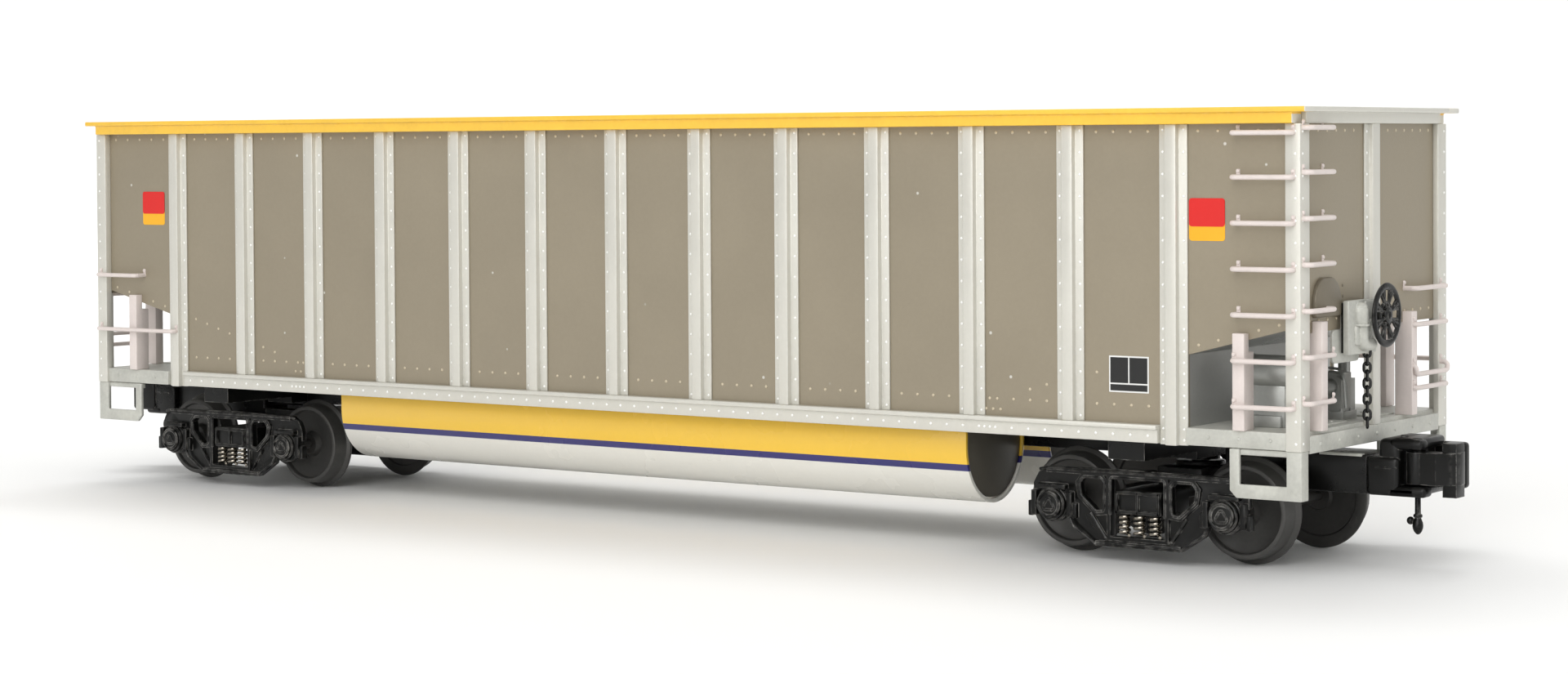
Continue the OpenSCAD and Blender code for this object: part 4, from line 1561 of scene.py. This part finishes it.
    def make_valve(self):
        """The control valve with its three bent pipes and four bolts."""
        low = node_box("control_valve")[0]
        bm = bmesh.new()
        softened(bm, "control_valve", 0.25, segments=3)
        for index in range(3):
            lift = 0.75 * index
            start = Vector((low.x + 3.4, low.y + 5, low.z + 8.4 + lift))
            corner = Vector((low.x + 7.8, low.y + 3.4 - lift, start.z))
            foot = Vector((corner.x + lift * 0.4, corner.y, low.z + 2.5))
            add_bent_rod(bm, [start, corner, foot], 0.28, 2.4, steps=8)
        for x in (2.6, 6.6):
            for y in (3.8, 8.2):
                add_nut(bm, (low.x + x, low.y + y, low.z + 1.6), Z_AXIS, 0.5, 0.5)
        make_piece(bm, "control_valve_casting", gear_grey(), BODY, ["control_valve"])


# ---------------------------------------------------------------- placards


class WAGON_OT_placards(bpy.types.Operator):
    """Makes the blank placards on the sides"""

    bl_idname = "wagon.placards"
    bl_label = "Placards"

    placards = {"brake_end": 143.2, "plain_end": -144.9}
    half_width = 3.8
    gold_bottom = 62.9
    gold_top = 70.9
    red_bottom = 65.6
    red_top = 70.95
    data_panel = ((121.9, 33.6), (130.6, 40.6))
    data_cells = (
        ((122.2, 35.4), (126.1, 40.3)),
        ((126.4, 35.4), (130.3, 40.3)),
        ((122.2, 33.9), (130.3, 35.1)),
    )

    def execute(self, context):
        sheet_y = node_box("side_sheet_right")[0].y
        red = enamel("placard_red", tuple(paint().red), gloss=(0.3, 0.36), depth=0.03)
        gold = enamel("placard_gold", tuple(paint().gold), gloss=(0.3, 0.36), depth=0.03)
        black = enamel("data_panel_black", (0.012, 0.012, 0.012), gloss=(0.3, 0.36), depth=0.03)
        white = enamel("data_panel_white", (0.8, 0.8, 0.78), gloss=(0.3, 0.36), depth=0.03)
        for side in (1, -1):
            label = "right" if side == 1 else "left"
            turn = Matrix.Rotation(0 if side == 1 else math.pi, 4, "Z")
            place = turn @ Matrix.Translation((0, sheet_y, 0)) @ Matrix.Rotation(math.pi / 2, 4, "X")
            for end, x in self.placards.items():
                left, right = x - self.half_width, x + self.half_width
                name = f"placard_gold_{label}_{end}"
                self.add_card(name, place, (left, self.gold_bottom), (right, self.gold_top), gold)
                low, high = (left, self.red_bottom), (right, self.red_top)
                self.add_card(f"placard_red_{label}_{end}", place, low, high, red, 0.6, 0.12)
            self.add_card(f"data_panel_{label}", place, *self.data_panel, white, 0.05)
            for index, (low, high) in enumerate(self.data_cells):
                self.add_card(f"data_panel_{label}_{index}", place, low, high, black, 0.02, 0.11)
        return {"FINISHED"}

    def add_card(self, name, place, low, high, finish, corner=0.6, thickness=0.06):
        """A blank card on a side sheet."""
        bm = bmesh.new()
        outline = [(low[0], low[1]), (high[0], low[1]), (high[0], high[1]), (low[0], high[1])]
        add_plate(bm, outline, thickness, place, corner)
        make_piece(bm, name, finish, BODY, mend=True)


# ---------------------------------------------------------------- trucks


def truck_middle(truck):
    """Centre of a truck on the floor, and which way it faces along X."""
    low, high = node_box(truck + "_bolster")
    return Vector(((low.x + high.x) / 2, 0, 0)), TRUCKS[truck]


class WAGON_OT_truck_frames(bpy.types.Operator):
    """Makes the side frames with their bearing caps, and the bolsters"""

    bl_idname = "wagon.truck_frames"
    bl_label = "Truck frames"

    window = [(7.3, 15.2), (8.2, 16.2), (12, 16.2), (13, 15), (12.6, 12.6), (9.2, 9.6), (7.5, 9.8)]
    opening = [(-6, 9.2), (-6, 16.4), (6, 16.4), (6, 9.2)]
    top_edge = [(-22, 17.2), (-20.4, 17.55), (20.4, 17.55), (22, 17.2)]
    lower_edge = [(-15.4, 8.4), (-14.4, 6.4), (-9.4, 3.2), (9.4, 3.2), (14.4, 6.4), (15.4, 8.4)]
    face = 25.8

    def execute(self, context):
        for truck in TRUCKS:
            for side in ("right", "left"):
                self.make_frame(truck, side, context.scene.wagon_trucks)
            node = truck + "_bolster"
            bm = bmesh.new()
            softened(bm, node, 0.25)
            self.add_bolster_ends(bm, node)
            make_piece(bm, node + "_casting", cast_black(), truck, [node])
        return {"FINISHED"}

    def add_bolster_ends(self, bm, node):
        """A raised rim and a middle rib on each end of a bolster."""
        low, high = node_box(node)
        left, right = low.x + 0.1, high.x - 0.1
        bottom, top = 9.5, 13.9
        middle = (low.x + high.x) / 2
        bars = (
            ((left, bottom), (right, bottom + 0.6)),
            ((left, top - 0.6), (right, top)),
            ((left, bottom), (left + 0.6, top)),
            ((right - 0.6, bottom), (right, top)),
            ((middle - 0.3, bottom), (middle + 0.3, top)),
        )
        for side in (1, -1):
            y = high.y * side
            for (x0, z0), (x1, z1) in bars:
                ends = corners([(x0, y - 0.2 * side, z0), (x1, y + 0.5 * side, z1)])
                add_block(bm, *ends, 0.12)

    def make_frame(self, truck, side, sizes):
        """One side frame with the raised beads along its edges and its two bearings."""
        node = f"{truck}_frame_{side}"
        centre = truck_middle(truck)[0]
        low, high = node_box(node)
        out = -1 if high.y < 0 else 1
        tip_y = high.y if out > 0 else low.y
        face_y = out * self.face
        bead = sizes.bead / MM

        def on_face(points, depth):
            return [Vector((centre.x + x, face_y - out * depth, z)) for x, z in points]

        bm = bmesh.new()
        softened(bm, node, 0.22)
        for lean in (1, -1):
            self.add_bead_loop(bm, on_face([(lean * x, z) for x, z in self.window], 0.1), bead)
            tray = on_face([(0, 4.4), (lean * 7.2, 4.4), (lean * 10.6, 9.2)], 0.55)
            add_bent_rod(bm, tray, bead * 1.1, 0.5, sides=8)
        add_bent_rod(bm, on_face(self.opening, 0.1), bead, 0.6, sides=8)
        for edge in (self.top_edge, self.lower_edge):
            add_bent_rod(bm, on_face(edge, 0.15), bead, 0.5, sides=8)
        for name in ("inner", "outer"):
            wheel_low, wheel_high = node_box(f"{truck}_wheelset_{name}")
            axle = (wheel_low + wheel_high) / 2
            self.add_cap(bm, Vector((axle.x, tip_y, axle.z)), out)
            self.add_bearing_brackets(bm, Vector((axle.x, face_y, axle.z)), out)
        make_piece(bm, node + "_casting", cast_black(), truck, [node])

    def add_bead_loop(self, bm, loop, radius):
        """A closed bead that starts in the middle of its first side."""
        start = (loop[-1] + loop[0]) / 2
        lap = (loop[0] - loop[-1]).normalized() * 0.01
        add_bent_rod(bm, [start, *loop, start + lap], radius, 0.5, sides=8)

    def add_cap(self, bm, tip, out):
        """A bearing cap: three rings and a raised triangle."""
        normal = Vector((0, out, 0))
        for depth, radius in ((0.05, 2.3), (0.8, 2.85), (1.7, 3.3)):
            add_ring(bm, tip - normal * depth, normal, radius, 0.26, steps=36, sides=8)
        reach = 1.8
        turns = [math.tau * index / 3 for index in range(3)]
        peak = [tip + Vector((reach * math.sin(a), 0, reach * math.cos(a) - 0.15)) for a in turns]
        self.add_bead_loop(bm, peak, 0.22)

    def add_bearing_brackets(self, bm, centre, out):
        """Lugs on both sides of a bearing and the pad over it."""
        for lean in (1, -1):
            lug_low = (centre.x + lean * 3.4, centre.y - out * 1.6, centre.z - 2.4)
            lug_high = (centre.x + lean * 4.6, centre.y + out * 0.7, centre.z + 2.6)
            add_block(bm, *corners([lug_low, lug_high]), 0.2)
            foot_low = (centre.x + lean * 4.4, centre.y - out * 1.6, centre.z - 2.6)
            foot_high = (centre.x + lean * 5.5, centre.y + out * 0.3, centre.z + 0.4)
            add_block(bm, *corners([foot_low, foot_high]), 0.2)
        pad_low = (centre.x - 3.2, centre.y - out * 1.6, centre.z + 3.0)
        pad_high = (centre.x + 3.2, centre.y + out * 0.9, centre.z + 4.0)
        add_block(bm, *corners([pad_low, pad_high]), 0.2)


class WAGON_OT_springs(bpy.types.Operator):
    """Makes the coil springs of the trucks"""

    bl_idname = "wagon.springs"
    bl_label = "Springs"

    steps_per_turn = 16

    def execute(self, context):
        sizes = context.scene.wagon_trucks
        wire = sizes.spring_wire / MM
        for truck in TRUCKS:
            bm = bmesh.new()
            for points in node_solids(truck + "_springs"):
                low, high = corners(points)
                self.add_coil(bm, low, high, wire, sizes.spring_turns)
            make_piece(
                bm, truck + "_coils", spring_steel(), truck, [truck + "_springs"], mend=True
            )
        return {"FINISHED"}

    def add_coil(self, bm, low, high, wire, turns):
        """One coil: a ring of the wire's section, spun and raised turn by turn."""
        centre = (low + high) / 2
        radius = (high.x - low.x) / 2
        start = Vector((centre.x + radius, centre.y, low.z + wire))
        made = bmesh.ops.create_circle(
            bm, cap_ends=True, segments=8, radius=wire, matrix=Matrix.Translation(start) @ facing(Y_AXIS)
        )
        face = made["verts"][0].link_faces[0]
        steps = self.steps_per_turn * turns
        rise = (high.z - low.z - 2 * wire) / steps
        bmesh.ops.spin(
            bm,
            geom=[face],
            cent=(centre.x, centre.y, 0),
            axis=Z_AXIS,
            dvec=(0, 0, rise),
            angle=math.tau * turns,
            steps=steps,
            use_duplicate=False,
        )


class WAGON_OT_wheelsets(bpy.types.Operator):
    """Makes the wheels on their axles"""

    bl_idname = "wagon.wheelsets"
    bl_label = "Wheelsets"

    def execute(self, context):
        for truck in TRUCKS:
            for name in ("inner", "outer"):
                self.make_wheelset(truck, name)
        return {"FINISHED"}

    def make_wheelset(self, truck, name):
        """Two flanged wheels with dished webs and rims, on one axle."""
        node = f"{truck}_wheelset_{name}"
        low, high = node_box(node)
        centre = (low + high) / 2
        flange = (high.z - low.z) / 2
        tread = flange - 1.1
        face, back = 18.7, 14.1
        bm = bmesh.new()
        profile = [
            (0.9, back - 0.6),
            (2.6, back - 0.6),
            (3.0, back + 0.2),
            (tread - 1.5, back + 0.4),
            (tread - 1.2, back),
            (flange - 0.45, back),
            (flange - 0.1, back + 0.15),
            (flange, back + 0.4),
            (flange - 0.15, back + 0.75),
            (tread + 0.2, back + 1.15),
            (tread, back + 1.5),
            (tread - 0.25, face - 0.4),
            (tread - 0.38, face - 0.12),
            (tread - 0.65, face),
            (tread - 1.15, face),
            (tread - 1.3, face - 0.12),
            (tread - 1.5, face - 0.8),
            (tread - 1.9, face - 1.05),
            (4.4, face - 1.75),
            (3.1, face - 1.65),
            (2.7, face - 0.9),
            (2.4, face - 0.4),
            (0.9, face - 0.4),
        ]
        for side in (1, -1):
            add_turned(bm, profile, (centre.x, 0, centre.z), Vector((0, side, 0)), steps=80)
        add_bar(bm, (centre.x, low.y, centre.z), (centre.x, high.y, centre.z), 1.0, rounding=0.15)
        body = f"{truck}_wheels_{name}"
        make_piece(bm, node + "_turned", wheel_black(), body, [node], smooth=32, mend=True)


# ---------------------------------------------------------------- couplers


class WAGON_OT_couplers(bpy.types.Operator):
    """Makes the coupler arms, heads, knuckles and release pins"""

    bl_idname = "wagon.couplers"
    bl_label = "Couplers"

    pin_setback = 8
    jaw_height = 2.05
    strip_start = 29
    strip_end = 38

    def execute(self, context):
        for truck in TRUCKS:
            self.make_head(truck)
            self.make_arm(truck)
            self.make_release_pin(truck)
            node = truck + "_knuckle"
            bm = bmesh.new()
            softened(bm, node, 0.6, segments=4)
            body = truck + "_coupler_knuckle"
            make_piece(bm, node + "_casting", cast_black(), body, [node])
        return {"FINISHED"}

    def make_head(self, truck):
        """The coupler head: a rounded box with an upper and a lower jaw and a guard arm."""
        middle, way = truck_middle(truck)
        low, high = node_box(truck + "_coupler_head")
        knuckle_low, knuckle_high = node_box(truck + "_knuckle")
        reach = (low - middle).x * way if way > 0 else (high - middle).x * way
        nose = (knuckle_high - middle).x if way > 0 else (middle - knuckle_low).x
        pin = nose - self.pin_setback
        jaw = pin + 0.6
        back = pin - 5
        top_z = high.z - self.jaw_height
        low_z = low.z + self.jaw_height
        shapes = {
            "shell": ((reach, -7.2, low.z), (pin - 2.7, 7.4, high.z - 3.5), 0.9),
            "crown": ((reach + 2.4, -6.6, high.z - 5.5), (pin - 2.7, 6.8, high.z), 1.1),
            "upper_jaw": ((back, -6.6, top_z), (jaw + 0.35, 6.8, high.z), 0.8),
            "upper_lip": ((back, -6.6, top_z), (jaw + 1.4, -3.45, high.z), 0.8),
            "lower_jaw": ((back, -7.2, low.z), (jaw + 0.35, 7.4, low_z), 0.8),
            "lower_lip": ((back, -7.2, low.z), (jaw + 2.2, -3.45, low_z), 0.8),
            "throat": ((pin - 4, 1.5, low.z + 0.6), (pin - 0.7, 7.1, high.z - 0.6), 0.5),
            "guard_arm": ((pin - 2.4, 5.35, low.z + 0.8), (nose - 2.4, 7.7, high.z - 1.2), 0.8),
        }
        bm = bmesh.new()
        for near, far, rounding in shapes.values():
            spots = [(middle.x + way * x, way * y, z) for x, y, z in (near, far)]
            add_block(bm, *corners(spots), rounding, segments=4)
        top = Vector((middle.x + way * (pin - 4), -1.2 * way, high.z - 0.1))
        add_bar(bm, top, top + Z_AXIS * 0.5, 0.75, rounding=0.2)
        for z in (low.z - 0.01, high.z + 0.01):
            post = Vector((middle.x + way * pin, -4.2 * way, z))
            add_dome(bm, post, Z_AXIS, 1.1, 0.25, sides=20, rings=8)
        for side in (-7.2, 7.4):
            seam = [(reach + 2, side - 0.1, low.z + 5.3), (pin - 3, side + 0.1, low.z + 5.5)]
            spots = [(middle.x + way * x, way * y, z) for x, y, z in seam]
            add_block(bm, *corners(spots), 0.04)
        head = truck + "_coupler_head"
        make_piece(bm, head + "_casting", cast_black(), truck, [head])

    def make_release_pin(self, truck):
        """The release pin: a stem with a collar over a pointed bulb, and a knob on one side."""
        pin = truck + "_coupler_pin"
        way = TRUCKS[truck]
        low, high = node_box(pin)
        bulb = (high.y - low.y) / 2
        x = high.x - bulb if way > 0 else low.x + bulb
        y = (low.y + high.y) / 2
        top = high.z - low.z + 0.2
        profile = [(0, 0), (0.35, 0.12), (0.75, 0.6), (0.98, 1.2), (bulb, 1.7), (0.95, 2.3), (0.72, 2.9)]
        profile += [(0.62, 3.2), (0.84, 3.35), (0.88, 3.6), (0.82, 3.85), (0.58, 4), (0.55, top), (0, top)]
        bm = bmesh.new()
        add_turned(bm, profile, (x, y, low.z), Z_AXIS, steps=24)
        knob = Vector((x - way * 1.5, y, low.z + 2.6))
        add_bar(bm, knob, (x, y, knob.z), 0.42, sides=16)
        add_dome(bm, knob, X_AXIS, 0.78, 0.72, sides=20, rings=12)
        name = truck + "_release_pin"
        make_piece(bm, name, cast_black(), truck, [pin], smooth=60, mend=True)

    def make_arm(self, truck):
        """The coupler arm, with the pale strip along the near edge of its top."""
        arm = truck + "_coupler_arm"
        middle, way = truck_middle(truck)
        low, high = node_box(arm)
        bm = bmesh.new()
        softened(bm, arm, 0.45, segments=3)
        make_piece(bm, arm + "_casting", cast_black(), truck, [arm])
        near = (middle.x + way * self.strip_start, way * low.y, high.z - 0.3)
        far = (middle.x + way * self.strip_end, way * (low.y + 1.3), high.z + 0.25)
        bm = bmesh.new()
        add_block(bm, *corners([near, far]), 0.08)
        make_piece(bm, arm + "_strip", worn_silver(), truck)


OPERATORS = [
    WAGON_OT_stage,
    WAGON_OT_sheets,
    WAGON_OT_posts,
    WAGON_OT_sills,
    WAGON_OT_chords,
    WAGON_OT_tubs,
    WAGON_OT_underframe,
    WAGON_OT_platforms,
    WAGON_OT_irons,
    WAGON_OT_brake_gear,
    WAGON_OT_placards,
    WAGON_OT_truck_frames,
    WAGON_OT_springs,
    WAGON_OT_wheelsets,
    WAGON_OT_couplers,
]
SETTINGS = {
    "wagon_paint": WagonPaint,
    "wagon_rivets": WagonRivets,
    "wagon_tubs": WagonTubs,
    "wagon_irons": WagonIrons,
    "wagon_trucks": WagonTrucks,
    "wagon_stage": WagonStage,
}


class WAGON_PT_panel(bpy.types.Panel):
    """Lists the wagon's pieces and settings"""

    bl_label = "Wagon"
    bl_idname = "WAGON_PT_panel"
    bl_space_type = "VIEW_3D"
    bl_region_type = "UI"
    bl_category = "Wagon"

    def draw(self, context):
        for operator in OPERATORS:
            self.layout.operator(operator.bl_idname)
        for name, settings in SETTINGS.items():
            box = self.layout.box()
            box.label(text=settings.__doc__)
            for label in settings.__annotations__:
                box.prop(getattr(context.scene, name), label)


def register():
    for settings in SETTINGS.values():
        bpy.utils.register_class(settings)
    for operator in OPERATORS:
        bpy.utils.register_class(operator)
    bpy.utils.register_class(WAGON_PT_panel)
    for name, settings in SETTINGS.items():
        setattr(bpy.types.Scene, name, PointerProperty(type=settings))


def unregister():
    for name in SETTINGS:
        delattr(bpy.types.Scene, name)
    bpy.utils.unregister_class(WAGON_PT_panel)
    for operator in reversed(OPERATORS):
        bpy.utils.unregister_class(operator)
    for settings in SETTINGS.values():
        bpy.utils.unregister_class(settings)


def main():
    """Registers the classes and makes the wagon."""
    register()
    for operator in OPERATORS:
        group, name = operator.bl_idname.split(".")
        getattr(getattr(bpy.ops, group), name)()


if __name__ == "__main__":
    main()
